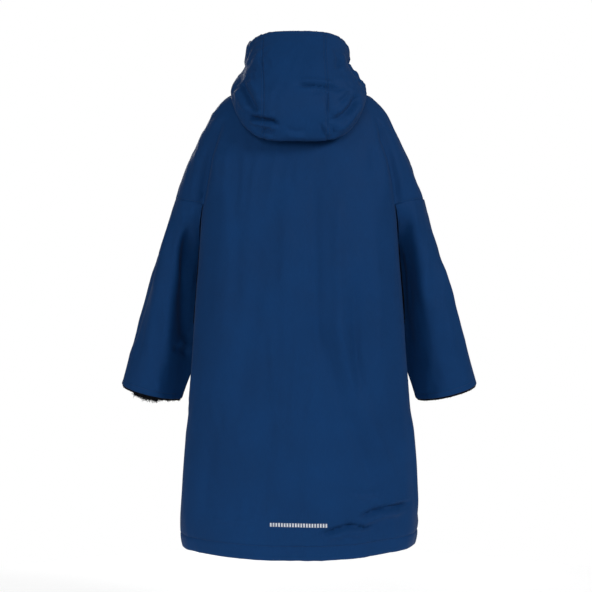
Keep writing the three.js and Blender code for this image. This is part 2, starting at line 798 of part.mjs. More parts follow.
// The slider sits on the chain near the chin, square to it.
const SEAT_SHARE = 0.3; // of the way from the line's second point to its third
const seat = zipLine[1].clone().lerp(zipLine[2], SEAT_SHARE);
const seatNormal = zipNormals[1];
const lean = Math.atan2(-seatNormal.y, -seatNormal.x);
const seatFace = seat.clone().addScaledVector(seatNormal, CHAIN_PROUD + SEAM);

function slider() {
  const plate = new THREE.BoxGeometry(2 * SLIDER.half, SLIDER.thick, SLIDER.high);
  plate.translate(0, -SLIDER.thick / 2, 0);
  const reach = PIN_OUT + CHEEK.past;
  const parts = [plate];
  for (const side of [LEFT, RIGHT]) {
    const cheek = new THREE.BoxGeometry(CHEEK.to - CHEEK.from, reach, 2 * CHEEK.half);
    cheek.translate((side * (CHEEK.from + CHEEK.to)) / 2, -reach / 2, 0);
    parts.push(cheek);
  }
  const barLength = 2 * (CHEEK.from + PIN_OVERLAP);
  const bar = new THREE.CylinderGeometry(PIN_RADIUS, PIN_RADIUS, barLength, 16);
  bar.rotateZ(Math.PI / 2);
  bar.translate(0, -PIN_OUT, 0);
  parts.push(bar);
  const joined = parts.map(solid).reduce((whole, piece) => whole.add(piece));
  const geometry = geometryOf(joined);
  geometry.rotateX(lean);
  geometry.translate(0, seatFace.x, seatFace.y);
  return geometry;
}

function pullTab() {
  const eye = new THREE.Shape();
  const half = PULL.thick / 2;
  const meet = Math.asin(half / EYE_OUTER);
  const down = -Math.PI / 2;
  eye.absarc(0, 0, EYE_OUTER, down + meet, down - meet + 2 * Math.PI, false);
  eye.lineTo(-half, -PULL.length + half);
  eye.absarc(0, -PULL.length + half, half, Math.PI, 2 * Math.PI, false);
  eye.closePath();
  const hole = new THREE.Path();
  hole.absarc(0, 0, EYE_INNER, 0, 2 * Math.PI, true);
  eye.holes.push(hole);
  const geometry = new THREE.ExtrudeGeometry(eye, {
    depth: 2 * PULL.half,
    bevelEnabled: false,
    curveSegments: 10,
  });
  // The outline's x runs out from the wearer and its y up; the tab's width runs along X.
  geometry.translate(0, 0, -PULL.half);
  geometry.rotateX(Math.PI / 2);
  geometry.rotateZ(Math.PI / 2);
  return geometryOf(solid(geometry));
}

addMesh("zip_slider", slider(), "zip_plastic");
const pull = addMesh("zip_pull", pullTab(), "zip_plastic");
const pinPlace = seatFace.clone().addScaledVector(seatNormal, PIN_OUT);
pull.position.set(0, pinPlace.x, pinPlace.y);

export default robe;
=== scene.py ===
"""A navy changing robe with its hood down, seen from behind, filled out as worn and hollow.

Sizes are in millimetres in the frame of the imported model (+Z up, the wearer faces -Y, the wearer's
left is +X, origin in the neck opening) and become metres when a mesh is made.
"""
from types import SimpleNamespace

import bmesh
import bpy
import numpy as np
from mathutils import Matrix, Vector
from mathutils.bvhtree import BVHTree
from mathutils.kdtree import KDTree


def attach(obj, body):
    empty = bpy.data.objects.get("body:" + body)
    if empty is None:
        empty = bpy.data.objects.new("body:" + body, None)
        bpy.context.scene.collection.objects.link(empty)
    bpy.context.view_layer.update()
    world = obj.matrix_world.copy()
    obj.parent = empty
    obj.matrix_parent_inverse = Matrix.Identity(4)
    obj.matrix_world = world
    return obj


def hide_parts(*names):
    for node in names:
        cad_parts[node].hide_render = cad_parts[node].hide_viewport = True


MM = 0.001
LEFT, RIGHT = 1, -1
SIDES = ((LEFT, "left"), (RIGHT, "right"))
QUARTER = np.pi / 2

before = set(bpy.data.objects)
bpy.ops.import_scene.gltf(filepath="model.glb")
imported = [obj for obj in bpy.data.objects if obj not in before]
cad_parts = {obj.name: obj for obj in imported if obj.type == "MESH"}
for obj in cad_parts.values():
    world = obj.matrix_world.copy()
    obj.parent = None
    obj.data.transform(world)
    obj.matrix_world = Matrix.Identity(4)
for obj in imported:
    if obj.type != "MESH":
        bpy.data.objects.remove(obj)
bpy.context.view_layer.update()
rng = np.random.default_rng(7)


# ---------------------------------------------------------------- tables and curves

class Table:
    """Rows with named columns, read on a smooth curve at any value of the first column."""

    def __init__(self, names, rows):
        self.names = names.split()
        self.rows = np.array(rows, float)

    def at(self, value):
        rows = self.rows
        keys = rows[:, 0]
        rising = 1 if keys[1] > keys[0] else -1
        last = len(keys) - 1
        x = np.clip(value, keys.min(), keys.max())
        i = np.clip(np.searchsorted(rising * keys, rising * x) - 1, 0, last - 1)
        before = np.maximum(np.arange(last + 1) - 1, 0)
        after = np.minimum(np.arange(last + 1) + 1, last)
        slopes = (rows[after] - rows[before]) / (keys[after] - keys[before])[:, None]
        span = (keys[i + 1] - keys[i])[..., None]
        t = (x - keys[i])[..., None] / span
        t2, t3 = t * t, t * t * t
        found = (
            rows[i] * (2 * t3 - 3 * t2 + 1)
            + rows[i + 1] * (3 * t2 - 2 * t3)
            + slopes[i] * span * (t3 - 2 * t2 + t)
            + slopes[i + 1] * span * (t3 - t2)
        )
        return SimpleNamespace(**{name: found[..., k] for k, name in enumerate(self.names)})


def mix(a, b, t):
    return a + (b - a) * t


def smooth(low, high, x):
    t = np.clip((x - low) / (high - low), 0, 1)
    return t * t * (3 - 2 * t)


def power(value, exponent):
    return np.sign(value) * np.abs(value) ** exponent


def bell(distance, width):
    return np.exp(-((distance / width) ** 2))


def length_of(vectors):
    return np.linalg.norm(vectors, axis=-1, keepdims=True)


def unit(vectors):
    return vectors / np.maximum(length_of(vectors), 1e-9)


def travelled(line):
    """The distance along a line of points at each of them."""
    return np.concatenate([[0], np.cumsum(np.linalg.norm(np.diff(line, axis=0), axis=1))])


def resample(line, at):
    """Points at given distances along a line."""
    along = travelled(line)
    return np.stack([np.interp(at, along, line[:, k]) for k in range(line.shape[1])], axis=1)


NEAR_SEAM = (1.3, 3.6)  # extra lines of points beside a seam, for its groove and topstitch


def evenly(points, count, near=(False, False)):
    """count points evenly along each row's line, and more beside the ends that are seams."""
    out = []
    for line in points:
        whole = travelled(line)[-1]
        wanted = np.linspace(0, whole, count)
        beside = np.array(NEAR_SEAM)
        first = beside if near[0] else []
        last = whole - beside[::-1] if near[1] else []
        inner = wanted[1:-1]
        out.append(resample(line, np.concatenate([[0], first, inner, last, [whole]])))
    return np.array(out)


# ---------------------------------------------------------------- the robe's cut

HEM = -1155
TRUNK = Table("z half back front tip power", [
    (0, 85, 72, 72, 0, 2.0),
    (-12, 117, 83, 80, 0, 2.05),
    (-25, 151, 91, 88, 0, 2.15),
    (-40, 184, 98, 96, 0, 2.25),
    (-70, 212, 108, 108, 0, 2.3),
    (-100, 229, 116, 117, 2, 2.35),
    (-150, 238, 127, 128, 5, 2.4),
    (-200, 240, 137, 135, 8, 2.4),
    (-305, 241, 149, 142, 16, 2.4),
    (-435, 247, 157, 147, 24, 2.4),
    (-560, 257, 161, 150, 25, 2.4),
    (-660, 264, 164, 152, 25, 2.4),
    (-800, 275, 167, 155, 24, 2.4),
    (-900, 284, 169, 158, 22, 2.4),
    (-1000, 291, 171, 161, 20, 2.4),
    (-1080, 293, 172, 163, 20, 2.4),
    (-1120, 292, 171, 163, 20, 2.4),
    (HEM, 287, 169, 162, 20, 2.4),
])
ARM = Table("tip outer half depth y", [
    (-60, 204, 68, 92, -6),
    (-100, 231, 70, 92, -8),
    (-130, 247, 72, 90, -10),
    (-160, 260, 73, 88, -13),
    (-200, 279, 75, 86, -16),
    (-252, 299, 77, 84, -20),
    (-287, 311, 79, 82, -24),
    (-365, 335, 81, 79, -30),
    (-440, 357, 81, 75, -34),
    (-515, 380, 81, 71, -38),
    (-590, 402, 80, 67, -41),
    (-665, 425, 79, 63, -43),
    (-750, 449, 77, 59, -44),
    (-800, 464, 77, 57, -45),
])
ARM_TIPS = Table("z tip", [
    (0, 0), (-12, -12), (-27, -27), (-46, -46), (-74, -73), (-110, -107), (-155, -149),
    (-205, -194), (-255, -240), (-305, -287),
])
ARMHOLE, ARMHOLE_TIP, CUFF_TIP = -305, -287, -750
ARM_SLOPE, CUFF_TILT, TILT_BEGINS = 0.24, 0.16, -320
NECK_DROP, NECK_RISE, DROP_ENDS = 45, 8, -190
HEM_LIFT, HEM_SAG, HEM_CURVE_BEGINS = 8, 5, -900
SHOULDER_ANGLE = np.radians(32)
ZIP_HALF, ZIP_EASE = 5, 60
SLEEVE_CLEAR = 4
WALL, FLEECE, LINING_GAP = 3, 5, 0.6
SEAM = 0.3
SEWN = 0.05  # left between two sewn edges

# The hood runs from the neck seam, stage 0, round its lip at stage 3 to its rim at stage 10.
HOOD = Table("stage half back tip power flat z_back z_side collar front z_front", [
    (0, 85, 72, 0, 2.0, 2, NECK_RISE, 0, 85, 72, -NECK_DROP),
    (1, 122, 106, 12, 2.0, 2, -20, 0, 88, 75, -38),
    (2, 154, 130, 36, 2.1, 2.4, -100, -20, 90, 77, -31),
    (2.6, 163, 139, 50, 2.2, 3.6, -142, -31, 91, 78, -27),
    (3, 168, 152, 58, 2.3, 4.3, -159, -38, 92, 79, -23),
    (3.5, 171, 172, 62, 2.35, 4.3, -158, -38, 93, 80, -20),
    (4, 168, 185, 64, 2.4, 4, -134, -30, 94, 81, -16),
    (5, 159, 194, 62, 2.4, 3.2, -84, -12, 97, 83, -8),
    (6, 145, 187, 50, 2.4, 2.6, -30, 10, 100, 85, 0),
    (7, 131, 167, 30, 2.5, 2.8, 22, 34, 103, 87, 8),
    (8, 128, 141, 16, 2.7, 3.0, 66, 62, 106, 89, 15),
    (9, 127, 119, 6, 2.8, 3.2, 97, 84, 108, 91, 23),
    (10, 119, 106, 0, 2.8, 3.4, 113, 97, 108, 92, 30),
])
RIM, LINED_FROM = 10, 6
HOOD_LEAN = 4  # the hood's top leans a little toward the wearer's left
PANEL_SEAM, SEAM_LEAN, SEAM_AT_NECK = 76, 9, 48
HOOD_CLEAR, BAG_ROOM, NECK_GAP = 5, 9, 0.3


def trunk_point(z, angle):
    s = TRUNK.at(z)
    reach = np.where(np.sin(angle) > 0, s.back - s.tip, s.front + s.tip)
    x = s.half * power(np.cos(angle), 2 / s.power)
    return x, s.tip + reach * power(np.sin(angle), 2 / s.power)


def trunk_side(y, z):
    """How far out the trunk's side is at a depth y, or 0 beyond it."""
    s = TRUNK.at(z)
    reach = np.where(y > s.tip, s.back - s.tip, s.front + s.tip)
    share = 1 - np.abs((y - s.tip) / reach) ** s.power
    return s.half * np.maximum(share, 0) ** (1 / s.power)


def arm_point(tip, angle):
    s = ARM.at(tip)
    return s.outer - s.half + s.half * np.cos(angle), s.y + s.depth * np.sin(angle)


def fold_angle(z, tip, face):
    """The arm's angle where it comes out of the trunk, at the back (1) or the front (-1)."""
    out = np.full(z.shape, np.radians(5))
    inside = np.full(z.shape, np.radians(175))
    for _ in range(40):
        middle = (out + inside) / 2
        x, y = arm_point(tip, face * middle)
        free = x > trunk_side(y, z)
        out = np.where(free, middle, out)
        inside = np.where(free, inside, middle)
    return out


def trunk_angle(z, y):
    s = TRUNK.at(z)
    reach = np.where(y > s.tip, s.back - s.tip, s.front + s.tip)
    return np.abs(np.arcsin(power(np.clip((y - s.tip) / reach, -1, 1), s.power / 2)))


def neckline(z, y, reach):
    front, back = smooth(0, 1, -y / reach), smooth(0, 1, y / reach)
    return (NECK_RISE * back - NECK_DROP * front) * smooth(DROP_ENDS, 0, z)


def hemline(z, y, reach):
    return mix(HEM_LIFT, -HEM_SAG, (y / reach) ** 2) * smooth(HEM_CURVE_BEGINS, HEM, z)


def shoulder_height(x, y):
    high, low = np.zeros(x.shape), np.full(x.shape, -400.0)
    for _ in range(30):
        z = (high + low) / 2
        under = np.abs(x) < trunk_side(y, z)
        low = np.where(under, z, low)
        high = np.where(under, high, z)
    return high + neckline(high, y, TRUNK.at(high).back)


# ---------------------------------------------------------------- grids of points

class Skin:
    """Points and four-sided faces. Each face has a panel, and its corners have places on the cloth."""

    def __init__(self):
        self.points, self.faces, self.corners, self.panels, self.names = [], [], [], [], []
        self.count = 0

    def add(self, points):
        """Adds a block of points (..., 3) and gives back their numbers."""
        shape = points.shape[:-1]
        index = np.arange(self.count, self.count + int(np.prod(shape))).reshape(shape)
        self.points.append(points.reshape(-1, 3))
        self.count += index.size
        return index

    def weave(self, index, panel, turn, across, along):
        """Faces over a grid of point numbers, rows from the top down; turn 1 runs anticlockwise.

        across and along are the points' places on the flat cloth.
        """
        place = np.stack(np.broadcast_arrays(across, along), axis=2)
        cells = [(slice(1, None), slice(None, -1)), (slice(1, None), slice(1, None)),
                 (slice(None, -1), slice(1, None)), (slice(None, -1), slice(None, -1))]
        if turn < 0:
            cells = [cells[0], cells[3], cells[2], cells[1]]
        quads = np.stack([index[cell].ravel() for cell in cells], axis=1)
        if panel not in self.names:
            self.names.append(panel)
        self.faces.append(quads)
        self.corners.append(np.stack([place[cell].reshape(-1, 2) for cell in cells], axis=1))
        self.panels.append(np.full(len(quads), self.names.index(panel)))

    def close(self):
        self.points = np.concatenate(self.points)
        self.faces = np.concatenate(self.faces)
        self.corners = np.concatenate(self.corners)
        self.panels = np.concatenate(self.panels)

    def chosen(self, panel):
        return np.nonzero(self.panels == self.names.index(panel))[0]

    def normals(self):
        p = self.points[self.faces]
        flat = np.cross(p[:, 2] - p[:, 0], p[:, 3] - p[:, 1])
        total = np.zeros_like(self.points)
        for k in range(4):
            np.add.at(total, self.faces[:, k], flat)
        return unit(total)

    def relax(self, weight, rounds):
        """Rounds creases: each point moves toward the middle of its neighbours by its weight."""
        pairs = np.concatenate([self.faces[:, [k, (k + 1) % 4]] for k in range(4)])
        touched = weight[pairs[:, 0]] + weight[pairs[:, 1]] > 0
        pairs = pairs[touched]
        for _ in range(rounds):
            total, near = np.zeros_like(self.points), np.zeros(self.count)
            np.add.at(total, pairs[:, 0], self.points[pairs[:, 1]])
            np.add.at(total, pairs[:, 1], self.points[pairs[:, 0]])
            np.add.at(near, pairs[:, 0], 1)
            np.add.at(near, pairs[:, 1], 1)
            middle = np.where(near[:, None] > 0, total / np.maximum(near, 1)[:, None], self.points)
            self.points += (middle - self.points) * weight[:, None]


STEP, HOOD_STEP = 5, 3.5  # the usual size of a face


def rows_along(keys, line, step, extra=()):
    """Values of keys that cut a line into steps, with extra ones put in among them."""
    along = travelled(line)
    count = int(round(along[-1] / step)) + 1
    found = np.interp(np.linspace(0, along[-1], count), along, keys)
    extra = np.array(extra, float)
    if len(extra):
        gap = step * abs(keys[-1] - keys[0]) / along[-1]
        far = np.min(np.abs(found[:, None] - extra[None]), axis=1) > 0.45 * gap
        far[[0, -1]] = True
        found = np.concatenate([found[far], extra])
    return np.sort(found)[:: 1 if keys[-1] > keys[0] else -1]


def across_of(points):
    """How far along its row each point of a grid is."""
    steps = np.linalg.norm(np.diff(points, axis=1), axis=2)
    return np.concatenate([np.zeros((len(points), 1)), np.cumsum(steps, axis=1)], axis=1)


# ---------------------------------------------------------------- body and sleeves

HEM_BAND, CUFF_BAND, RIM_BAND = 34, 12, 12  # from an edge to its line of stitches
BESIDE_STITCH = (-5, -2.5, -1.2, 0, 1.2, 2.5, 5)
BACK_COUNT, ARM_HALF, FRONT_COUNT, UNDER_HALF = 47, 22, 45, 18


def body_rows():
    z = np.linspace(0, ARMHOLE, 400)
    back = np.stack([TRUNK.at(z).back, z], axis=1)
    upper = rows_along(z, back, STEP, [ARMHOLE + k for k in NEAR_SEAM] + [-k for k in NEAR_SEAM])
    z = np.linspace(ARMHOLE, HEM, 400)
    extra = [HEM + HEM_BAND + k for k in BESIDE_STITCH] + [HEM + 1.5, HEM + 4]
    extra += [ARMHOLE - k for k in NEAR_SEAM]
    return upper, rows_along(z, z[:, None], STEP, extra)


UPPER, LOWER = body_rows()
DENSE = 240


def settle(points, z):
    """Hangs a grid's rows as the neckline and hem do, and leaves room for the zip."""
    reach = TRUNK.at(z).back[:, None]
    points[..., 2] += neckline(z[:, None], points[..., 1], reach)
    points[..., 2] += hemline(z[:, None], points[..., 1], reach)
    in_front = points[..., 1] < 0
    points[..., 0] += np.where(in_front, ZIP_HALF * smooth(ZIP_EASE, 0, points[..., 0]), 0)
    return points


def arc(z, start, end, count, near=(False, False)):
    """Points on the trunk from one angle to another, a row for each z."""
    share = np.linspace(0, 1, DENSE)[None]
    angle = mix(start[:, None], end[:, None], share)
    x, y = trunk_point(z[:, None], angle)
    points = np.stack([x, y, np.broadcast_to(z[:, None], x.shape)], axis=2)
    return evenly(points, count, near)


def two_halves(points, count, near=True):
    """A row that goes round an arm: both halves end at the seam in their middle."""
    middle = points.shape[1] // 2
    first = evenly(points[:, :middle + 1], count, (False, near))
    second = evenly(points[:, middle:], count, (near, False))
    return np.concatenate([first, second[:, 1:]], axis=1), first.shape[1] - 1


def upper_body():
    """The three parts of each ring above the armhole, for the wearer's left."""
    z = UPPER
    tip = ARM_TIPS.at(z).tip
    is_arm = smooth(-70, -130, z)
    rings = np.array([-110, -155, -205, -255, ARMHOLE], float)
    ends = {}
    for face in (1, -1):
        found = fold_angle(rings, ARM_TIPS.at(rings).tip, face)
        arm = Table("z angle", np.stack([rings, found], axis=1)).at(z).angle
        _, y = arm_point(tip, face * arm)
        ends[face] = arm, mix(SHOULDER_ANGLE, trunk_angle(z, y), is_arm)
    turn = np.linspace(1, -1, 2 * DENSE + 1)[None]
    arm_end = np.where(turn > 0, ends[1][0][:, None], ends[-1][0][:, None])
    trunk_end = np.where(turn > 0, ends[1][1][:, None], ends[-1][1][:, None])
    tx, ty = trunk_point(z[:, None], trunk_end * turn)
    ax, ay = arm_point(tip[:, None], arm_end * turn)
    x, y = mix(tx, ax, is_arm[:, None]), mix(ty, ay, is_arm[:, None])
    out = (x - x[:, :1]) / (x.max(axis=1) - x[:, 0])[:, None]
    height = z[:, None] + (tip - z)[:, None] * np.clip(out, 0, 1)
    arm, top = two_halves(np.stack([x, y, height], axis=2), ARM_HALF)
    back = arc(z, np.full(z.shape, QUARTER), ends[1][1], BACK_COUNT)
    front = arc(z, -ends[-1][1], np.full(z.shape, -QUARTER), FRONT_COUNT, (False, True))
    back[:, -1], front[:, 0] = arm[:, 0], arm[:, -1]
    corner = {face: (ends[face][0][-1], ends[face][1][-1]) for face in (1, -1)}
    return settle(back, z), settle(arm, z), settle(front, z), top, corner


def lower_body(corner):
    z = LOWER
    back_end = np.full(z.shape, corner[1][1])
    front_end = np.full(z.shape, -corner[-1][1])
    flat = np.zeros(z.shape)
    back = arc(z, flat + QUARTER, back_end, BACK_COUNT)
    first = arc(z, back_end, flat, UNDER_HALF, (False, True))
    second = arc(z, flat, front_end, UNDER_HALF, (True, False))
    under = np.concatenate([first, second[:, 1:]], axis=1)
    front = arc(z, front_end, flat - QUARTER, FRONT_COUNT, (False, True))
    return settle(back, z), settle(under, z), settle(front, z), first.shape[1] - 1


def sleeve(corner, bridge):
    """Rings of the wearer's left sleeve: round the arm, then back under it."""
    dense = np.linspace(ARMHOLE_TIP, CUFF_TIP, 200)
    side = np.stack([ARM.at(dense).outer, dense], axis=1)
    extra = [CUFF_TIP + CUFF_BAND + k for k in BESIDE_STITCH] + [CUFF_TIP + 1.5, CUFF_TIP + 3.5]
    tips = rows_along(dense, side, STEP, extra + [ARMHOLE_TIP - k for k in NEAR_SEAM])
    s = ARM.at(tips[:, None])
    freed = smooth(-318, -425, tips)[:, None]
    clear = mix(1, SLEEVE_CLEAR, smooth(-287, -365, tips))[:, None]
    tilt = (CUFF_TILT * smooth(TILT_BEGINS, CUFF_TIP, tips))[:, None]

    def place(x, y):
        z = tips[:, None] - ARM_SLOPE * (s.outer - x) - tilt * (y - s.y)
        return np.stack([np.maximum(x, trunk_side(y, z) + clear), y, z], axis=2)

    turn = np.linspace(1, -1, 2 * DENSE + 1)[None]
    end = np.where(turn > 0, corner[1][0], corner[-1][0])
    arm, _ = two_halves(place(*arm_point(tips[:, None], end * turn)), ARM_HALF)
    share = (travelled(bridge) / travelled(bridge)[-1])[None]
    angles = mix(corner[1][0], 2 * np.pi - corner[-1][0], share)
    free_x, free_y = arm_point(tips[:, None], angles)
    under = place(mix(bridge[None, :, 0], free_x, freed), mix(bridge[None, :, 1], free_y, freed))
    under[0, :, 2] = bridge[:, 2] - SEAM
    under[:, 0], under[:, -1] = arm[:, 0], arm[:, -1]
    return arm, under, tips


def mirror(points, side):
    return points * np.array([side, 1, 1])


def build_body():
    skin = Skin()
    back, arm, front, top, corner = upper_body()
    low_back, low_under, low_front, seam = lower_body(corner)
    sleeve_arm, sleeve_under, tips = sleeve(corner, low_under[0])
    low_back[0], low_front[0] = back[-1], front[-1]
    parts = {}
    middle = {}
    for side, name in SIDES:
        i_back = skin.add(mirror(back, side))
        i_arm = skin.add(mirror(arm[:, 1:-1], side))
        i_front = skin.add(mirror(front, side))
        i_low_back = skin.add(mirror(low_back[1:], side))
        i_under = skin.add(mirror(low_under[:, 1:-1], side))
        i_low_front = skin.add(mirror(low_front[1:], side))
        if side == LEFT:
            middle = {"upper": i_back[:, 0], "lower": i_low_back[:, 0]}
        i_back[:, 0], i_low_back[:, 0] = middle["upper"], middle["lower"]
        i_arm = np.concatenate([i_back[:, -1:], i_arm, i_front[:, :1]], axis=1)
        i_low_back = np.concatenate([i_back[-1:], i_low_back])
        i_low_front = np.concatenate([i_front[-1:], i_low_front])
        i_under = np.concatenate([i_low_back[:, -1:], i_under, i_low_front[:, :1]], axis=1)

        front_name = f"front_{name}"
        for grids, numbers, fold, z in (
            ((back, arm, front), (i_back, i_arm, i_front), top, UPPER[:, None]),
            ((low_back, low_under, low_front), (i_low_back, i_under, i_low_front), seam, LOWER[:, None]),
        ):
            from_middle, from_fold, from_zip = map(across_of, grids)
            from_zip = from_zip[:, -1:] - from_zip
            u = side * (from_middle[:, -1:] + from_fold)
            ease = side * (from_zip[:, :1] + from_fold[:, -1:] - from_fold)
            at_back, between, at_front = numbers
            skin.weave(at_back, "back", -side, side * from_middle, z)
            skin.weave(between[:, :fold + 1], "back", -side, u[:, :fold + 1], z)
            skin.weave(between[:, fold:], front_name, -side, ease[:, fold:], z)
            skin.weave(at_front, front_name, -side, side * from_zip, z)

        i_sleeve = skin.add(mirror(sleeve_arm, side))
        i_inner = skin.add(mirror(sleeve_under[:, 1:-1], side))
        i_sleeve[0, 1:-1] = i_arm[-1, 1:-1]
        ring = np.concatenate([i_sleeve, i_inner[:, ::-1], i_sleeve[:, :1]], axis=1)
        flat = np.concatenate([sleeve_arm, sleeve_under[:, ::-1][:, 1:]], axis=1)
        skin.weave(ring, f"sleeve_{name}", -side, side * across_of(flat), tips[:, None])
        parts[name] = SimpleNamespace(
            back=i_back, arm=i_arm, front=i_front, low_back=i_low_back, under=i_under,
            low_front=i_low_front, sleeve=ring, arm_columns=i_sleeve.shape[1], tips=tips,
            top=top, seam=seam,
        )
    skin.close()
    return skin, parts


def build_hood():
    skin = Skin()
    dense = np.linspace(0, RIM, 500)
    s = HOOD.at(dense)
    line = np.stack([s.back, s.z_back], axis=1)
    per_stage = np.gradient(travelled(line), dense)[-1]
    stitch = [RIM - (RIM_BAND + k) / per_stage for k in BESIDE_STITCH]
    extra = stitch + [RIM - 1.5 / per_stage, RIM - 4 / per_stage]
    stages = rows_along(dense, line, HOOD_STEP, extra)
    parts = {}
    middle = None
    for side, name in SIDES:
        centre, outer = hood_grid(side, stages)
        i_centre = skin.add(centre)
        i_outer = skin.add(outer[:, 1:])
        if side == LEFT:
            middle = i_centre[:, 0]
        i_centre[:, 0] = middle
        i_outer = np.concatenate([i_centre[:, -1:], i_outer], axis=1)
        height = travelled(line)[np.searchsorted(dense, stages).clip(0, 499)][:, None]
        skin.weave(i_centre, "hood_centre", side, side * across_of(centre), height)
        skin.weave(i_outer, f"hood_side_{name}", side, side * across_of(outer), height)
        parts[name] = SimpleNamespace(centre=i_centre, outer=i_outer, stages=stages)
    skin.close()
    return skin, parts


HOOD_CENTRE_COUNT, HOOD_SIDE_COUNT = 26, 82


def hood_grid(side, stages):
    """The lowered hood's points on one side: its half centre panel and its side panel."""
    stage = stages[:, None]
    s = HOOD.at(stage)
    seam_x = mix(SEAM_AT_NECK, PANEL_SEAM + side * SEAM_LEAN, smooth(0, 3, stage))
    seam = np.arccos((seam_x / s.half) ** (s.power / 2))

    def points(angle):
        forward = np.maximum(-np.sin(angle), 0)
        half = mix(s.half, s.collar, smooth(0, 0.75, forward))
        reach = np.where(angle > 0, s.back - s.tip, s.front + s.tip)
        x = half * power(np.cos(angle), 2 / s.power)
        y = s.tip + reach * power(np.sin(angle), 2 / s.power)
        across = np.abs(x / half) ** s.flat
        z = np.where(
            angle > 0,
            mix(s.z_back, s.z_side, across),
            mix(s.z_side, s.z_front, (s.tip - y) / (s.tip + s.front)),
        )
        z = mix(neckline(np.zeros(y.shape), y, s.back), z, smooth(0, 1, stage))
        clear = HOOD_CLEAR * smooth(0, 0.5, stage) + BAG_ROOM * smooth(3.4, 4.6, stage)
        z = np.where(stage > 0, np.maximum(z, shoulder_height(x, y) + clear), z)
        z = mix(z, np.maximum.accumulate(z, axis=0), smooth(0.15, 0.5, forward))
        x = x + np.where(y < 0, ZIP_HALF * smooth(ZIP_EASE, 0, x), 0)
        x = x + side * HOOD_LEAN * smooth(5.5, 7.5, stage) * smooth(-40, 20, y)
        return np.stack([x, y, z + NECK_GAP], axis=2)

    share = np.linspace(0, 1, DENSE)[None]
    centre = evenly(points(mix(QUARTER, seam, share)), HOOD_CENTRE_COUNT, (False, True))
    outer = without_bag(points(mix(seam, -QUARTER, share)), stages, share)
    outer = evenly(outer, HOOD_SIDE_COUNT, (True, True))
    return mirror(centre, side), mirror(outer, side)


COLLAR_FROM, LIP_FROM, LIP_TO = 6.2, 2.2, 3.6  # stages
UNDER_ENDS, BAG_ENDS = (0.22, 0.46), (0.34, 0.52)  # shares of a side panel's width


def without_bag(points, stages, share):
    """Toward the front the hood's bag runs out, and the cloth rises straight from the neck."""
    top = int(np.argmin(np.abs(stages - COLLAR_FROM)))
    t = np.clip(stages / stages[top], 0, 1)[:, None, None]
    straight = mix(points[:1], points[top:top + 1], t)
    over = smooth(LIP_FROM, LIP_TO, stages)[:, None]
    weight = mix(smooth(*UNDER_ENDS, share), smooth(*BAG_ENDS, share), over)[..., None] * (t < 1)
    return mix(points, straight, weight)


# ---------------------------------------------------------------- folds, ripples and puckers

FACING = {"back": (0, 1, 1), "front": (0, 1, -1), "left": (1, 0, 1), "right": (1, 0, -1)}

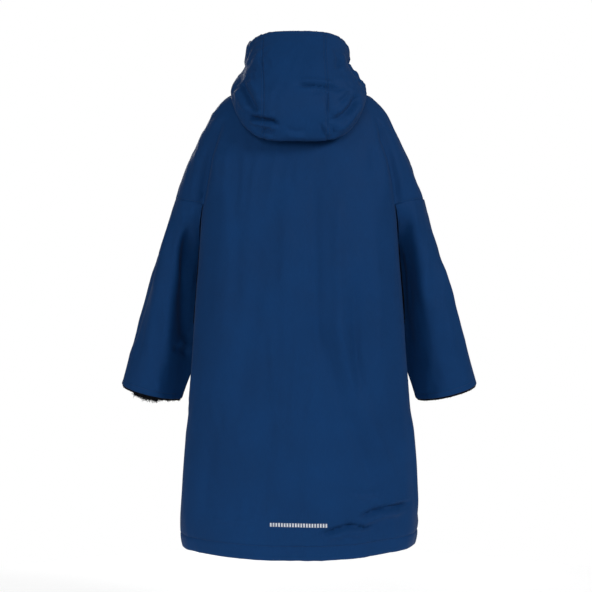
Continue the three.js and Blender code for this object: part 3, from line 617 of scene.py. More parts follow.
# A fold lies on one face of the garment, with a height, a width and a path. It is a ridge above 0
# or a trough below it, and runs through points (x, z) of the back or front, or (y, z) of a side.
TRUNK_FOLDS = {
    "back": [
        (-10.5, 9, [(180, -84), (202, -128), (220, -190), (231, -250), (240, -330)]),
        (4.5, 13, [(160, -90), (184, -140), (202, -210), (212, -300), (218, -400)]),
        (-10.5, 9, [(-180, -80), (-204, -126), (-224, -190), (-236, -250), (-246, -330)]),
        (4.5, 13, [(-160, -86), (-186, -140), (-206, -210), (-218, -300), (-226, -400)]),
        (7.5, 23, [(30, -240), (27, -480), (36, -690)]),
        (-6.5, 22, [(84, -330), (98, -480), (128, -690), (150, -880)]),
        (-7.5, 16, [(-36, -200), (-38, -480), (-46, -800)]),
        (7.5, 16, [(-90, -270), (-94, -500), (-102, -720)]),
        (-7.5, 12, [(-132, -460), (-136, -650), (-152, -820)]),
        (7.5, 25, [(-188, -260), (-196, -560), (-206, -850)]),
        (8, 20, [(-70, -500), (-112, -690), (-170, -830), (-222, -960), (-240, -1020)]),
        (-6, 16, [(-34, -560), (-76, -720), (-132, -860), (-170, -960), (-196, -1030)]),
        (4, 30, [(176, -120), (190, -500), (202, -820)]),
        (-3, 18, [(146, -300), (150, -480), (162, -640)]),
        (-5, 18, [(60, -720), (76, -900), (84, -1060)]),
        (4.5, 16, [(-30, -830), (-18, -960), (-22, -1060)]),
        (-4.5, 20, [(212, -860), (222, -980), (226, -1090)]),
        (-9.5, 5, [(-132, -1068), (-160, -1052), (-186, -1045), (-230, -1041), (-276, -1034)]),
        (7, 7, [(-142, -1082), (-184, -1064), (-260, -1054)]),
        (-9.5, 5, [(-40, -1100), (-88, -1085), (-122, -1077), (-160, -1086), (-190, -1082)]),
        (6, 7, [(-54, -1112), (-110, -1095), (-160, -1102)]),
        (-4.5, 9, [(-120, -990), (-150, -1004), (-196, -1002)]),
        (4, 8, [(96, -1060), (150, -1070), (210, -1064)]),
        (-3, 16, [(205, -100), (194, -150), (186, -190)]),
        (-4.5, 18, [(-205, -115), (-188, -180), (-182, -250)]),
    ],
    "front": [
        (-9, 11, [(158, -110), (170, -170), (182, -230), (196, -330)]),
        (-9, 11, [(-158, -110), (-170, -170), (-182, -230), (-196, -330)]),
        (-10.5, 22, [(72, -240), (84, -520), (98, -900)]),
        (9, 23, [(150, -300), (156, -600), (164, -960)]),
        (-7.5, 18, [(196, -330), (206, -600), (216, -900)]),
        (-10.5, 20, [(-58, -220), (-72, -560), (-88, -860)]),
        (9, 23, [(-132, -280), (-146, -620), (-150, -980)]),
        (-7.5, 16, [(-186, -360), (-200, -640), (-206, -960)]),
        (-6, 7, [(60, -1072), (104, -1058), (160, -1062)]),
        (-6, 7, [(-90, -1092), (-140, -1080), (-200, -1086)]),
        (6, 14, [(40, -120), (80, -190), (150, -250)]),
        (6, 14, [(-46, -130), (-90, -200), (-146, -240)]),
    ],
    "left": [
        (-7.5, 14, [(40, -760), (30, -920), (24, -1080)]),
        (6, 16, [(-20, -780), (-28, -940), (-20, -1100)]),
    ],
    "right": [
        (-7.5, 14, [(10, -770), (14, -930), (4, -1070)]),
        (6, 16, [(62, -800), (56, -960), (60, -1100)]),
    ],
}
SLEEVE_FOLDS = {
    "back": [
        (-15, 13, [(272, -330), (279, -420), (283, -520), (286, -610), (284, -700)]),
        (5.5, 13, [(300, -350), (316, -460), (326, -570), (332, -690)]),
        (6, 12, [(258, -668), (280, -654), (302, -646)]),
        (-5.5, 7, [(276, -676), (296, -664), (318, -660)]),
        (7, 19, [(330, -310), (348, -460), (362, -600)]),
        (-5.5, 15, [(302, -310), (318, -430), (328, -540)]),
        (-4.5, 19, [(372, -470), (392, -590), (404, -690)]),
        (4, 13, [(345, -690), (352, -740), (350, -775)]),
        (6, 15, [(-281, -300), (-298, -420), (-318, -580)]),
        (-3, 16, [(-312, -320), (-330, -440), (-348, -580)]),
        (5.5, 19, [(-350, -420), (-368, -560), (-388, -690)]),
        (-2.5, 16, [(-330, -700), (-340, -740), (-334, -780)]),
    ],
    "front": [
        (8, 15, [(290, -320), (310, -450), (330, -580)]),
        (-8, 13, [(330, -330), (345, -470), (372, -620)]),
        (-7, 9, [(280, -520), (310, -505), (350, -510)]),
        (8, 15, [(-296, -330), (-306, -460), (-334, -600)]),
        (-8, 13, [(-336, -320), (-352, -480), (-370, -610)]),
        (-7, 9, [(-286, -545), (-316, -525), (-352, -532)]),
    ],
    "left": [
        (-5.5, 14, [(-20, -420), (-30, -540), (-34, -680)]),
        (5.5, 14, [(-50, -380), (-60, -520), (-62, -640)]),
    ],
    "right": [
        (-5.5, 14, [(-34, -400), (-40, -530), (-48, -660)]),
        (5.5, 14, [(-4, -420), (-14, -560), (-22, -690)]),
    ],
}
HOOD_FOLDS = {
    "back": [
        (-6.5, 4.5, [(14, -30), (-31, -31), (-74, -35), (-112, -38)]),
        (4.5, 6, [(6, -19), (-40, -20), (-90, -24)]),
        (-3.5, 5, [(-20, -47), (-44, -46), (-64, -52), (-68, -80), (-68, -110)]),
        (-10, 7, [(142, -8), (126, -44), (112, -72), (98, -100)]),
        (7, 9, [(156, -28), (142, -58), (124, -92)]),
        (5, 10, [(122, -10), (104, -44), (90, -76)]),
        (-11, 4.2, [(128, -100), (106, -106), (84, -111), (62, -115), (44, -128)]),
        (7, 6, [(122, -114), (94, -122), (66, -128), (50, -138)]),
        (5, 6, [(112, -92), (84, -99), (58, -102)]),
        (-6, 5, [(104, -128), (88, -136), (72, -136), (60, -150)]),
        (5, 5, [(96, -144), (78, -150), (62, -160)]),
        (-3, 6, [(36, -132), (8, -141), (-20, -139)]),
        (4, 6, [(34, -146), (6, -153), (-20, -151)]),
        (6, 6, [(-54, -122), (-68, -136), (-70, -152)]),
        (-3.5, 5, [(-46, -118), (-58, -136), (-60, -154)]),
        (-5, 4.5, [(-78, -126), (-84, -142), (-76, -156)]),
        (8, 9, [(-86, -146), (-116, -116), (-140, -84), (-156, -56)]),
        (-8, 6, [(-68, -116), (-96, -106), (-122, -80), (-142, -46)]),
        (5, 7, [(-74, -98), (-98, -88), (-120, -60)]),
        (-4, 5, [(-90, -72), (-108, -60), (-124, -36)]),
        (-4.5, 6, [(-84, 76), (-96, 44), (-90, 10)]),
        (4.5, 7, [(-104, 60), (-110, 30), (-104, 6)]),
        (3, 9, [(96, 70), (104, 40), (98, 8)]),
    ],
    "left": [
        (-2.5, 7, [(-40, 40), (20, 38), (90, 36)]),
        (-3, 12, [(80, 30), (98, 8), (124, -20)]),
        (4, 9, [(60, 20), (80, -6), (104, -44)]),
        (-5, 8, [(-40, 34), (-20, 14), (0, -4)]),
    ],
    "right": [
        (-3.5, 5, [(-40, 48), (20, 46), (90, 44)]),
        (-7, 10, [(64, 48), (88, 16), (116, -16)]),
        (4, 9, [(54, 26), (76, 0), (104, -38)]),
        (-5, 8, [(-50, 26), (-28, 10), (-8, -6)]),
    ],
}
FOLD_END = 0.22  # share of a fold's length over which it fades in and out


def tree_of(points):
    tree = KDTree(len(points))
    for i, p in enumerate(points):
        tree.insert(p, i)
    tree.balance()
    return tree


def beside(flat, path):
    """How far points are from a path, and how far along it they are, from 0 to 1."""
    path = np.array(path, float)
    lengths = np.linalg.norm(np.diff(path, axis=0), axis=1)
    total = lengths.sum()
    best = np.full(len(flat), np.inf)
    share = np.zeros(len(flat))
    start = 0
    for a, b, length in zip(path[:-1], path[1:], lengths):
        t = np.clip(((flat - a) @ (b - a)) / length ** 2, 0, 1)
        off = np.linalg.norm(flat - a - t[:, None] * (b - a), axis=1)
        nearer = off < best
        best = np.where(nearer, off, best)
        share = np.where(nearer, (start + t * length) / total, share)
        start += length
    return best, share


def fold_heights(points, normals, folds):
    total = np.zeros(len(points))
    for face, rows in folds.items():
        across, facing, sign = FACING[face]
        flat = points[:, [across, 2]]
        turned = smooth(0.1, 0.55, sign * normals[:, facing])
        for height, width, path in rows:
            low = np.min(path, axis=0) - 3 * width
            high = np.max(path, axis=0) + 3 * width
            close = np.nonzero((turned > 0) & ((flat > low) & (flat < high)).all(axis=1))[0]
            off, share = beside(flat[close], path)
            ends = smooth(0, FOLD_END, share) * smooth(1, 1 - FOLD_END, share)
            total[close] += height * bell(off, width) * ends * turned[close]
    return total


def creases(points, height, across, along, patches, sharp=0.22):
    """Random creases that run mostly up and down, in patches, with rounded tops."""
    scale = np.array([1 / across, 1 / across, 1 / along]) * 2 * np.pi

    def waves(at, count):
        total = np.zeros(len(at))
        for _ in range(count):
            way = unit(rng.normal(size=3)) * rng.uniform(0.6, 1.4)
            total += np.cos(at @ way + rng.uniform(0, 2 * np.pi))
        return total / np.sqrt(count / 2)

    at = points * scale
    bent = at + 0.7 * np.stack([waves(at * 0.6, 4) for _ in range(3)], axis=1)
    value = waves(bent, 6)
    ridge = 1 - np.sqrt(value ** 2 + sharp ** 2)
    share = smooth(-0.3, 0.9, waves(points * 2 * np.pi / patches, 5))
    return height * np.clip(ridge, -0.4, 1) * share


def ripples(points, waves, height, longest, shortest, upright=0.22):
    """A soft unevenness: seeded waves that run mostly up and down the cloth."""
    total = np.zeros(len(points))
    for _ in range(waves):
        turn = rng.uniform(0, 2 * np.pi)
        wave = rng.uniform(shortest, longest)
        rise = rng.uniform(-upright, upright)
        way = np.array([np.cos(turn), np.sin(turn), rise]) * 2 * np.pi / wave
        total += np.cos(points @ way + rng.uniform(0, 2 * np.pi))
    return height * total / np.sqrt(waves)


FINE = 1.5  # the step along a line when distances from it are found


def near_line(points, line, reach):
    """The points within reach of a line, their distances from it and their places along it."""
    fine = resample(line, np.arange(0, travelled(line)[-1], FINE))
    tree = tree_of(fine)
    low, high = fine.min(axis=0) - reach, fine.max(axis=0) + reach
    close = np.nonzero(((points > low) & (points < high)).all(axis=1))[0]
    found = [tree.find(points[k])[1:] for k in close]
    place = np.array([f[0] for f in found]) * FINE
    off = np.array([f[1] for f in found])
    kept = off < reach
    return close[kept], off[kept], place[kept]


def seam_heights(points, line, groove, pucker, reach=16, pitch=17):
    """A line of stitches pulls the cloth in, and puckers it beside the line."""
    close, off, place = near_line(points, line, 2.5 * reach)
    total = np.zeros(len(points))
    value = -groove * bell(off, 2.2)
    at = 0.0
    whole = travelled(line)[-1]
    while at < whole:
        at += pitch * rng.uniform(0.55, 1.6)
        height = pucker * rng.uniform(-1, 1)
        wide = pitch * rng.uniform(0.22, 0.4)
        far = reach * rng.uniform(0.5, 1.5)
        value += height * bell(place - at, wide) * np.exp(-off / far)
    total[close] = value * smooth(2.5 * reach, 1.2 * reach, off)
    return total


# ---------------------------------------------------------------- cloth meshes

def make_mesh(name, verts, faces, materials, slots=None, corners=None, sharp=50):
    mesh = bpy.data.meshes.new(name)
    count, sides = len(faces), faces.shape[1]
    mesh.vertices.add(len(verts))
    mesh.vertices.foreach_set("co", (verts * MM).astype(np.float32).ravel())
    mesh.loops.add(count * sides)
    mesh.loops.foreach_set("vertex_index", faces.astype(np.int32).ravel())
    mesh.polygons.add(count)
    mesh.polygons.foreach_set("loop_start", np.arange(0, count * sides, sides, dtype=np.int32))
    for material in materials:
        mesh.materials.append(material)
    if slots is not None:
        mesh.polygons.foreach_set("material_index", slots.astype(np.int32))
    if corners is not None:
        layer = mesh.uv_layers.new(name="cloth")
        layer.data.foreach_set("uv", (corners * MM).astype(np.float32).ravel())
    mesh.update(calc_edges=True)
    mesh.validate()
    mesh.shade_smooth()
    if sharp:
        mesh.set_sharp_from_angle(angle=np.radians(sharp))
    obj = bpy.data.objects.new(name, mesh)
    bpy.context.scene.collection.objects.link(obj)
    return obj


def copies(faces, count, points, start=0):
    """The faces of a small mesh again for each of its copies, each with so many points."""
    shift = start + np.arange(count) * points
    return (np.array(faces)[None] + shift[:, None, None]).reshape(-1, 3)


def wall_mesh(name, skin, chosen, outer_depth, inner_depth, materials, free, sink=0.25, swell=0.8):
    """A closed wall under some faces of a skin, between two depths, with its edges closed.

    free marks the points on the cloth's own edges, which are rounded. Other edges are seams, sunk
    a little. Depths and free are one value for all the points, or one for each.
    """
    faces, corners = skin.faces[chosen], skin.corners[chosen]
    size = skin.count
    outer_depth, inner_depth, free = (np.broadcast_to(v, size) for v in (outer_depth, inner_depth, free))
    pairs = np.concatenate([faces[:, [k, (k + 1) % 4]] for k in range(4)])
    ways = np.concatenate([corners[:, [k, (k + 1) % 4]] for k in range(4)])
    outline = ~np.isin(pairs[:, 0] * size + pairs[:, 1], pairs[:, 1] * size + pairs[:, 0])
    edges, ways = pairs[outline], ways[outline]
    normals = skin.normals()
    pull = np.zeros((size, 3))
    along = skin.points[edges[:, 1]] - skin.points[edges[:, 0]]
    for k in (0, 1):
        np.add.at(pull, edges[:, k], unit(np.cross(normals[edges[:, k]], along)))
    strong = np.linalg.norm(pull, axis=1) > 0.9
    pull = np.where(strong[:, None], unit(pull), 0)
    on_edge = np.zeros(size)
    on_edge[edges] = 1
    used = np.unique(faces)
    many = len(used)
    place = np.full(size, -1)
    place[used] = np.arange(many)
    base = skin.points[used] + pull[used] * (SEWN / 2)
    drop = outer_depth[used] + on_edge[used] * sink
    outer = base - normals[used] * drop[:, None]
    inner = base - normals[used] * inner_depth[used][:, None]
    verts = [outer, inner]
    quads = [place[faces], place[faces][:, ::-1] + many]
    flats = [corners, corners[:, ::-1]]
    slots = [np.zeros(len(faces), int), np.ones(len(faces), int)]
    a, b = place[edges[:, 0]], place[edges[:, 1]]
    loose = free[edges[:, 0]] & free[edges[:, 1]]
    sewn = ~loose
    quads.append(np.stack([b, a, a + many, b + many], axis=1)[sewn])
    flats.append(ways[sewn][:, [1, 0, 0, 1]])
    slots.append(np.zeros(sewn.sum(), int))
    if loose.any():
        ends = np.unique(edges[loose])
        shift = np.full(size, -1)
        shift[ends] = 2 * many + np.arange(len(ends))
        middle = (outer[place[ends]] + inner[place[ends]]) / 2 - pull[ends] * swell
        verts.append(middle)
        a, b = a[loose], b[loose]
        m, n = shift[edges[loose, 0]], shift[edges[loose, 1]]
        quads += [np.stack([b, a, m, n], axis=1), np.stack([n, m, a + many, b + many], axis=1)]
        flats += [ways[loose][:, [1, 0, 0, 1]]] * 2
        slots += [np.zeros(loose.sum(), int)] * 2
    return make_mesh(
        name, np.concatenate(verts), np.concatenate(quads), materials,
        np.concatenate(slots), np.concatenate(flats),
    )


def shown(piece, body, slot, *replaced):
    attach(piece, body)
    if replaced:
        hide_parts(*replaced)
    return piece


# ---------------------------------------------------------------- materials

class Nodes:
    """A material under construction. Its textures lie on the cloth's own plane, or in its space."""

    def __init__(self, name, on_cloth=False):
        self.material = bpy.data.materials.new(name)
        self.material.use_nodes = True
        self.tree = self.material.node_tree
        self.shader = self.tree.nodes["Principled BSDF"]
        if on_cloth:
            self.place = self.add("ShaderNodeUVMap", uv_map="cloth").outputs["UV"]
        else:
            self.place = self.add("ShaderNodeTexCoord").outputs["Object"]

    def add(self, kind, **values):
        node = self.tree.nodes.new(kind)
        for key, value in values.items():
            if hasattr(node, key):
                setattr(node, key, value)
            else:
                node.inputs[key.replace("_", " ")].default_value = value
        return node

    def link(self, source, socket):
        self.tree.links.new(source, socket)

    def texture(self, kind, output="Fac", place=None, **values):
        node = self.add(f"ShaderNodeTex{kind}", **values)
        self.link(self.place if place is None else place, node.inputs["Vector"])
        return node.outputs[output]

    def ramp(self, source, stops):
        node = self.add("ShaderNodeValToRGB")
        elements = node.color_ramp.elements
        elements[0].position, elements[0].color = stops[0]
        elements[1].position, elements[1].color = stops[-1]
        for position, color in stops[1:-1]:
            elements.new(position).color = color
        self.link(source, node.inputs["Fac"])
        return node.outputs["Color"]

    def bump(self, source, distance, strength=1.0, under=None):
        node = self.add("ShaderNodeBump", Strength=strength, Distance=distance)
        self.link(source, node.inputs["Height"])
        if under is not None:
            self.link(under, node.inputs["Normal"])
        return node.outputs["Normal"]

    def math(self, operation, a, b):
        node = self.add("ShaderNodeMath", operation=operation)
        for socket, value in zip(node.inputs, (a, b)):
            if isinstance(value, (int, float)):
                socket.default_value = value
            else:
                self.link(value, socket)
        return node.outputs[0]

    def done(self, colour, normal=None, rough=None, **values):
        """Joins the outputs to the shader, and sets what is the same all over on it."""
        for source, socket in ((colour, "Base Color"), (normal, "Normal"), (rough, "Roughness")):
            if source is not None:
                self.link(source, self.shader.inputs[socket])
        for key, value in values.items():
            self.shader.inputs[key.replace("_", " ")].default_value = value
        return self.material


def tone(r, g, b, times=1.0):
    return (r * times, g * times, b * times, 1)


def grey(value):
    return tone(value, value, value)


def weave_height(made, pitch):
    """A plain weave: threads over and under one another, a pitch in metres apart."""
    split = made.add("ShaderNodeSeparateXYZ")
    made.link(made.place, split.inputs[0])
    warp, weft = (
        made.math("SINE", made.math("MULTIPLY", split.outputs[k], np.pi / pitch), 0) for k in (0, 1)
    )
    return made.math("MULTIPLY", warp, weft)


NAVY = (0.0040, 0.0335, 0.1170)


def shell_material():
    made = Nodes("shell_cloth", on_cloth=True)
    spread = made.add("ShaderNodeMapping", Scale=(1, 0.16, 1))
    made.link(made.place, spread.inputs["Vector"])
    streaks = made.texture("Noise", place=spread.outputs[0], Scale=420, Detail=3, Roughness=0.6)
    patches = made.texture("Noise", Scale=7, Detail=4, Roughness=0.55)
    crinkle = made.texture("Noise", Scale=160, Detail=4, Roughness=0.65)
    share = made.math("ADD", made.math("MULTIPLY", streaks, 0.45), made.math("MULTIPLY", patches, 0.55))
    return made.done(
        made.ramp(share, [(0.30, tone(*NAVY, 0.86)), (0.5, tone(*NAVY)), (0.70, tone(*NAVY, 1.14))]),
        made.bump(weave_height(made, 0.0008), 0.00008, 0.5, made.bump(crinkle, 0.0004, 0.35)),
        made.ramp(patches, [(0.3, grey(0.56)), (0.7, grey(0.7))]),
        Specular_IOR_Level=0.06, Sheen_Weight=0.035, Sheen_Roughness=0.45, Sheen_Tint=(0.75, 0.82, 1.0, 1),
    )


def fleece_material():
    made = Nodes("fleece")
    curl = made.texture("Voronoi", "Distance", Scale=210, Randomness=1.0)
    fibres = made.texture("Noise", Scale=900, Detail=5, Roughness=0.7)
    # The pile is painted darker toward the roots of its curls, where its bump is lowest: painted shade
    # between the curls.
    tips, middles, roots = tone(0.014, 0.015, 0.021), tone(0.008, 0.009, 0.013), tone(0.003, 0.003, 0.005)
    return made.done(
        made.ramp(curl, [(0.0, tips), (0.35, middles), (0.8, roots)]),
        made.bump(fibres, 0.0006, 0.8, made.bump(made.math("SUBTRACT", 1.0, curl), 0.002, 0.8)),
        Roughness=0.95, Specular_IOR_Level=0.06, Sheen_Weight=0.03, Sheen_Roughness=0.5,
        Sheen_Tint=(0.6, 0.65, 0.8, 1),
    )


def thread_material():
    made = Nodes("thread")
    twist = made.texture("Wave", wave_type="BANDS", bands_direction="DIAGONAL", Scale=900)
    # The twist's grooves, low in its bump, are painted darker than its ridges: painted shade.
    return made.done(
        made.ramp(twist, [(0.2, tone(*NAVY, 0.55)), (0.8, tone(*NAVY, 1.0))]),
        made.bump(twist, 0.0001, 0.6), Roughness=0.5, Specular_IOR_Level=0.3,
    )


def reflective_material():
    made = Nodes("reflective_print")
    beads = made.texture("Voronoi", "Distance", Scale=1600)
    worn = made.texture("Noise", Scale=260, Detail=4, Roughness=0.6)
    return made.done(
        made.ramp(worn, [(0.3, tone(0.50, 0.53, 0.58)), (0.6, tone(0.66, 0.69, 0.74))]),
        made.bump(beads, 0.0001, 0.5), Roughness=0.42, Metallic=0.25, Specular_IOR_Level=0.5,
    )


def tape_material():
    made = Nodes("zip_tape")
    knit = made.texture("Wave", wave_type="BANDS", bands_direction="Z", Scale=260)
    ribs = made.texture("Wave", wave_type="BANDS", bands_direction="X", Scale=300)
    height = made.math("MULTIPLY", knit, ribs)
    # The knit's low places in its bump are painted darker than its raised loops: painted shade.
    return made.done(
        made.ramp(height, [(0.1, tone(0.0035, 0.012, 0.035)), (0.9, tone(0.006, 0.022, 0.066))]),
        made.bump(height, 0.0002, 0.7), Roughness=0.8, Specular_IOR_Level=0.2,
    )


def plastic_material():
    made = Nodes("zip_plastic")
    grain = made.texture("Noise", Scale=1400, Detail=3)
    worn = made.texture("Noise", Scale=120, Detail=4)
    return made.done(
        made.ramp(worn, [(0.3, tone(0.006, 0.009, 0.016)), (0.7, tone(0.010, 0.014, 0.024))]),
        made.bump(grain, 0.00005, 0.4), made.ramp(worn, [(0.3, grey(0.3)), (0.75, grey(0.45))]),
        Specular_IOR_Level=0.5,
    )


def floor_material():
    made = Nodes("floor")
    faint = made.texture("Noise", Scale=3, Detail=2)
    return made.done(
        made.ramp(faint, [(0.3, grey(0.93)), (0.7, grey(0.95))]), Roughness=0.9,
        Specular_IOR_Level=0.1, Emission_Strength=0.35, Emission_Color=(1, 1, 1, 1),
    )


SHELL = shell_material()
FLEECE_CLOTH = fleece_material()
THREAD = thread_material()
REFLECTIVE = reflective_material()
TAPE = tape_material()
PLASTIC = plastic_material()


# ---------------------------------------------------------------- shape the body

skin, body = build_body()
hood, hood_parts = build_hood()
skin.flat, hood.flat = skin.points.copy(), hood.points.copy()
CREASE_REACH = 4  # columns on each side of the arm's crease that are rounded


def crease_weights():
    """Where the arm leaves the trunk the cloth bends softly, less so close to the armhole."""
    weight = np.zeros(skin.count)
    rows = smooth(-60, -120, UPPER) * smooth(ARMHOLE, ARMHOLE + 70, UPPER)

    def soften(index, strength):
        weight[index] = np.maximum(weight[index], strength)

    for part in body.values():
        for k in range(3 * CREASE_REACH):
            for block, column in ((part.back, -1 - k), (part.arm, k), (part.arm, -1 - k), (part.front, k)):
                soften(block[:, column], 0.8 * bell(k, CREASE_REACH) * rows)
        tips = smooth(ARMHOLE_TIP, ARMHOLE_TIP - 60, part.tips)
        ring = part.sleeve[:, :-1]
        for k in range(-2 * CREASE_REACH, 2 * CREASE_REACH + 1):
            for corner in (0, part.arm_columns - 1):
                column = (corner + k) % ring.shape[1]
                soften(ring[:, column], 0.7 * bell(k, CREASE_REACH) * tips)
        weight[part.sleeve[-3:]] = 0
    return weight


def lines_of(parts):
    """The body's seams and lines of stitches, each as point numbers."""
    hem_row = int(np.argmin(np.abs(LOWER - (HEM + HEM_BAND))))
    cuff_row = int(np.argmin(np.abs(parts["left"].tips - (CUFF_TIP + CUFF_BAND))))
    halves = []
    for part in parts.values():
        halves.append(np.concatenate([
            part.low_back[hem_row], part.under[hem_row, 1:], part.low_front[hem_row, 1:],
        ]))
    left, right = halves
    lines = {"hem": np.concatenate([left[::-1], right[1:]])}
    for name, part in parts.items():
        lines[f"cuff_{name}"] = part.sleeve[cuff_row]
        lines[f"armhole_{name}"] = part.arm[-1]
        lines[f"shoulder_{name}"] = part.arm[:, part.top]
        lines[f"side_{name}"] = part.under[:, part.seam]
        lines[f"zip_{name}"] = np.concatenate([part.front[:, -3], part.low_front[1:, -3]])
    return lines


LINES = lines_of(body)
NECK_CALM = -40  # above this the cloth lies as smooth as the neck seam
PRESSED, PRESSED_WIDTH = {"left": 0.9, "right": 0.95}, 42
LEAST_GAP, GAP_FROM = 2.6, -300  # between a sleeve and the trunk, and below which height
BAND_SWELL = 1.3  # how far the hem's band stands out between the edge and its stitches
HEM_RISES = ((LEFT, 3), (RIGHT, 8))  # the two ends of the hem hang a little higher
# How deep the groove along each kind of seam is, and how much the cloth beside it puckers.
SEAMS = {"hem": (1.5, 1.6), "cuff": (0.7, 0.7), "armhole": (0.4, 0.9), "shoulder": (0.5, 0.6),
         "side": (0.5, 0.6), "zip": (0.6, 0.5)}


def press_sleeves():
    """The arm hangs against the trunk, and the back of its sleeve is drawn in beside it."""
    for name, part in body.items():
        points = skin.points[part.sleeve]
        tips = part.tips[:, None]
        middle = ARM.at(tips).y
        x, y, z = np.abs(points[..., 0]), points[..., 1], points[..., 2]
        near = bell(x - trunk_side(y, z), PRESSED_WIDTH) * smooth(-10, -130, tips - ARMHOLE_TIP)
        y = np.where(y > middle, middle + (y - middle) * (1 - PRESSED[name] * near), y)
        clear = trunk_side(y, z) + SLEEVE_CLEAR
        x = np.where(tips < ARMHOLE_TIP - 4, np.maximum(x, clear), x)
        points[..., 0] = np.sign(points[..., 0]) * x
        points[..., 1] = y
        skin.points[part.sleeve[1:]] = points[1:]


def shape_body():
    skin.relax(crease_weights(), 8)
    press_sleeves()
    normals = skin.normals()
    points = skin.points
    is_sleeve = np.zeros(skin.count, bool)
    for part in body.values():
        is_sleeve[part.sleeve[1:]] = True
    total = np.zeros(skin.count)
    trunk = ~is_sleeve
    total[trunk] = fold_heights(points[trunk], normals[trunk], TRUNK_FOLDS)
    total[is_sleeve] = fold_heights(points[is_sleeve], normals[is_sleeve], SLEEVE_FOLDS)
    total += ripples(points, 14, 1.4, 210, 90)
    total += creases(points, 3.2, 95, 420, 420)
    total += creases(points, 1.5, 44, 130, 260)
    total += ripples(points, 18, 0.25, 40, 22, 0.3)
    below_neck = np.ones(skin.count)
    for part in body.values():
        for block in (part.back, part.arm, part.front):
            below_neck[block] = smooth(0, NECK_CALM, UPPER)[:, None]
    total *= below_neck
    x, y, z = np.abs(points[:, 0]), points[:, 1], points[:, 2]
    gap = np.abs(x - trunk_side(y, z))
    beside_arm = smooth(-250, -310, z) * smooth(-800, -700, z)
    at_side = trunk * smooth(0.3, 0.65, np.abs(normals[:, 0]))
    total = np.where(is_sleeve, total * smooth(2, 22, gap), total)
    total = mix(total, np.minimum(total * 0.4, 1.0), beside_arm * at_side)
    under_hood = smooth(-190, -110, z) * smooth(215, 150, x)
    total *= 1 - 0.7 * under_hood
    for name, line in LINES.items():
        groove, pucker = SEAMS[name.split("_")[0]]
        total += seam_heights(points, points[line], groove, pucker)
    hem_height = z - HEM - hemline(z, y, TRUNK.at(z).back)
    band = trunk & (hem_height < HEM_BAND)
    total += np.where(band, BAND_SWELL * np.sin(np.pi * np.clip(hem_height / HEM_BAND, 0, 1)), 0)
    skin.points = points + normals * total[:, None]
    for side, rise in HEM_RISES:
        aside = smooth(70, 270, side * points[:, 0])
        skin.points[:, 2] += rise * aside * smooth(HEM_CURVE_BEGINS, HEM, z)
    near = is_sleeve & (z < GAP_FROM)
    side = np.sign(skin.points[:, 0])
    least = trunk_side(skin.points[:, 1], skin.points[:, 2]) + LEAST_GAP
    x = np.abs(skin.points[:, 0])
    skin.points[:, 0] = np.where(near & (x < least), side * least, skin.points[:, 0])


shape_body()


# ---------------------------------------------------------------- shape the hood

def row_below(distance):
    """The row of the hood's points that is a distance below its rim."""
    line = hood.points[hood_parts["left"].centre[:, 0]]
    along = travelled(line)
    return int(np.argmin(np.abs(along[-1] - along - distance)))


def hood_row(row, from_zip=0):
    """Point numbers along a row of the hood, from the wearer's left of the zip to its right."""
    left, right = hood_parts["left"], hood_parts["right"]
    last = left.outer.shape[1] - from_zip
    return np.concatenate([
        left.outer[row, :last][::-1], left.centre[row, -2::-1],
        right.centre[row, 1:], right.outer[row, 1:last],
    ])


def hood_lines():
    lines = {"rim": hood_row(row_below(RIM_BAND))}
    for name, part in hood_parts.items():
        lines[f"panel_{name}"] = part.centre[:, -1]
        lines[f"zip_{name}"] = part.outer[:, -3]
    return lines


HOOD_LINES = hood_lines()
HOOD_SEAMS = {"panel": (0.9, 0.9), "zip": (0.5, 0.4), "rim": (0.7, 0.5)}


def hood_weights():
    """The hood's sides and front are smoothed where it turns over the shoulders."""
    weight = np.zeros(hood.count)
    for part in hood_parts.values():
        columns = part.outer.shape[1]
        share = np.arange(columns)[None] / (columns - 1)
        rows = smooth(0.05, 0.5, part.stages) * smooth(9.5, 8, part.stages)
        across = smooth(0.2, 0.45, share) * smooth(0.97, 0.85, share)
        weight[part.outer] = 0.6 * rows[:, None] * across
    return weight


def shape_hood():
    hood.relax(hood_weights(), 20)
    normals = hood.normals()
    points = hood.points
    stage = np.zeros(hood.count)
    for part in hood_parts.values():
        for block in (part.centre, part.outer):
            stage[block] = part.stages[:, None]
    total = fold_heights(points, normals, HOOD_FOLDS)
    aside = 0.35 + 0.65 * smooth(40, 110, np.abs(points[:, 0]))
    total += ripples(points, 16, 0.5, 110, 50, 1.0)
    total += creases(points, 2.6, 60, 70, 140) * aside
    total += creases(points, 1.5, 26, 32, 90) * aside
    total *= smooth(2.6, 4.2, stage)
    for name, line in HOOD_LINES.items():
        groove, pucker = HOOD_SEAMS[name.split("_")[0]]
        total += seam_heights(points, points[line], groove, pucker, 13, 15) * smooth(0.5, 3, stage)
    hood.points = points + normals * total[:, None]


shape_hood()


# ---------------------------------------------------------------- build the cloth

def marked(count, lines):
    free = np.zeros(count, bool)
    for line in lines:
        free[np.asarray(line).ravel()] = True
    return free


def free_edges():
    edges, rims = [], []
    for part in body.values():
        edges += [part.low_back[-1], part.under[-1], part.low_front[-1], part.sleeve[-1]]
        edges += [part.front[:, -1], part.low_front[:, -1]]
    for part in hood_parts.values():
        rims += [part.centre[-1], part.outer[-1], part.outer[:, -1]]
    return marked(skin.count, edges), marked(hood.count, rims)


def longest_lines():
    """For each panel, a line of points down its whole length."""
    lines = {"back": np.concatenate([body["left"].back[:, 0], body["left"].low_back[1:, 0]])}
    for name, part in body.items():
        lines[f"front_{name}"] = np.concatenate([part.front[:, 0], part.low_front[1:, 0]])
        lines[f"sleeve_{name}"] = part.sleeve[:, part.arm_columns // 2]
    lines["hood_centre"] = hood_parts["left"].centre[:, 0]
    for name, part in hood_parts.items():
        lines[f"hood_side_{name}"] = part.outer[:, part.outer.shape[1] // 3]
    return lines


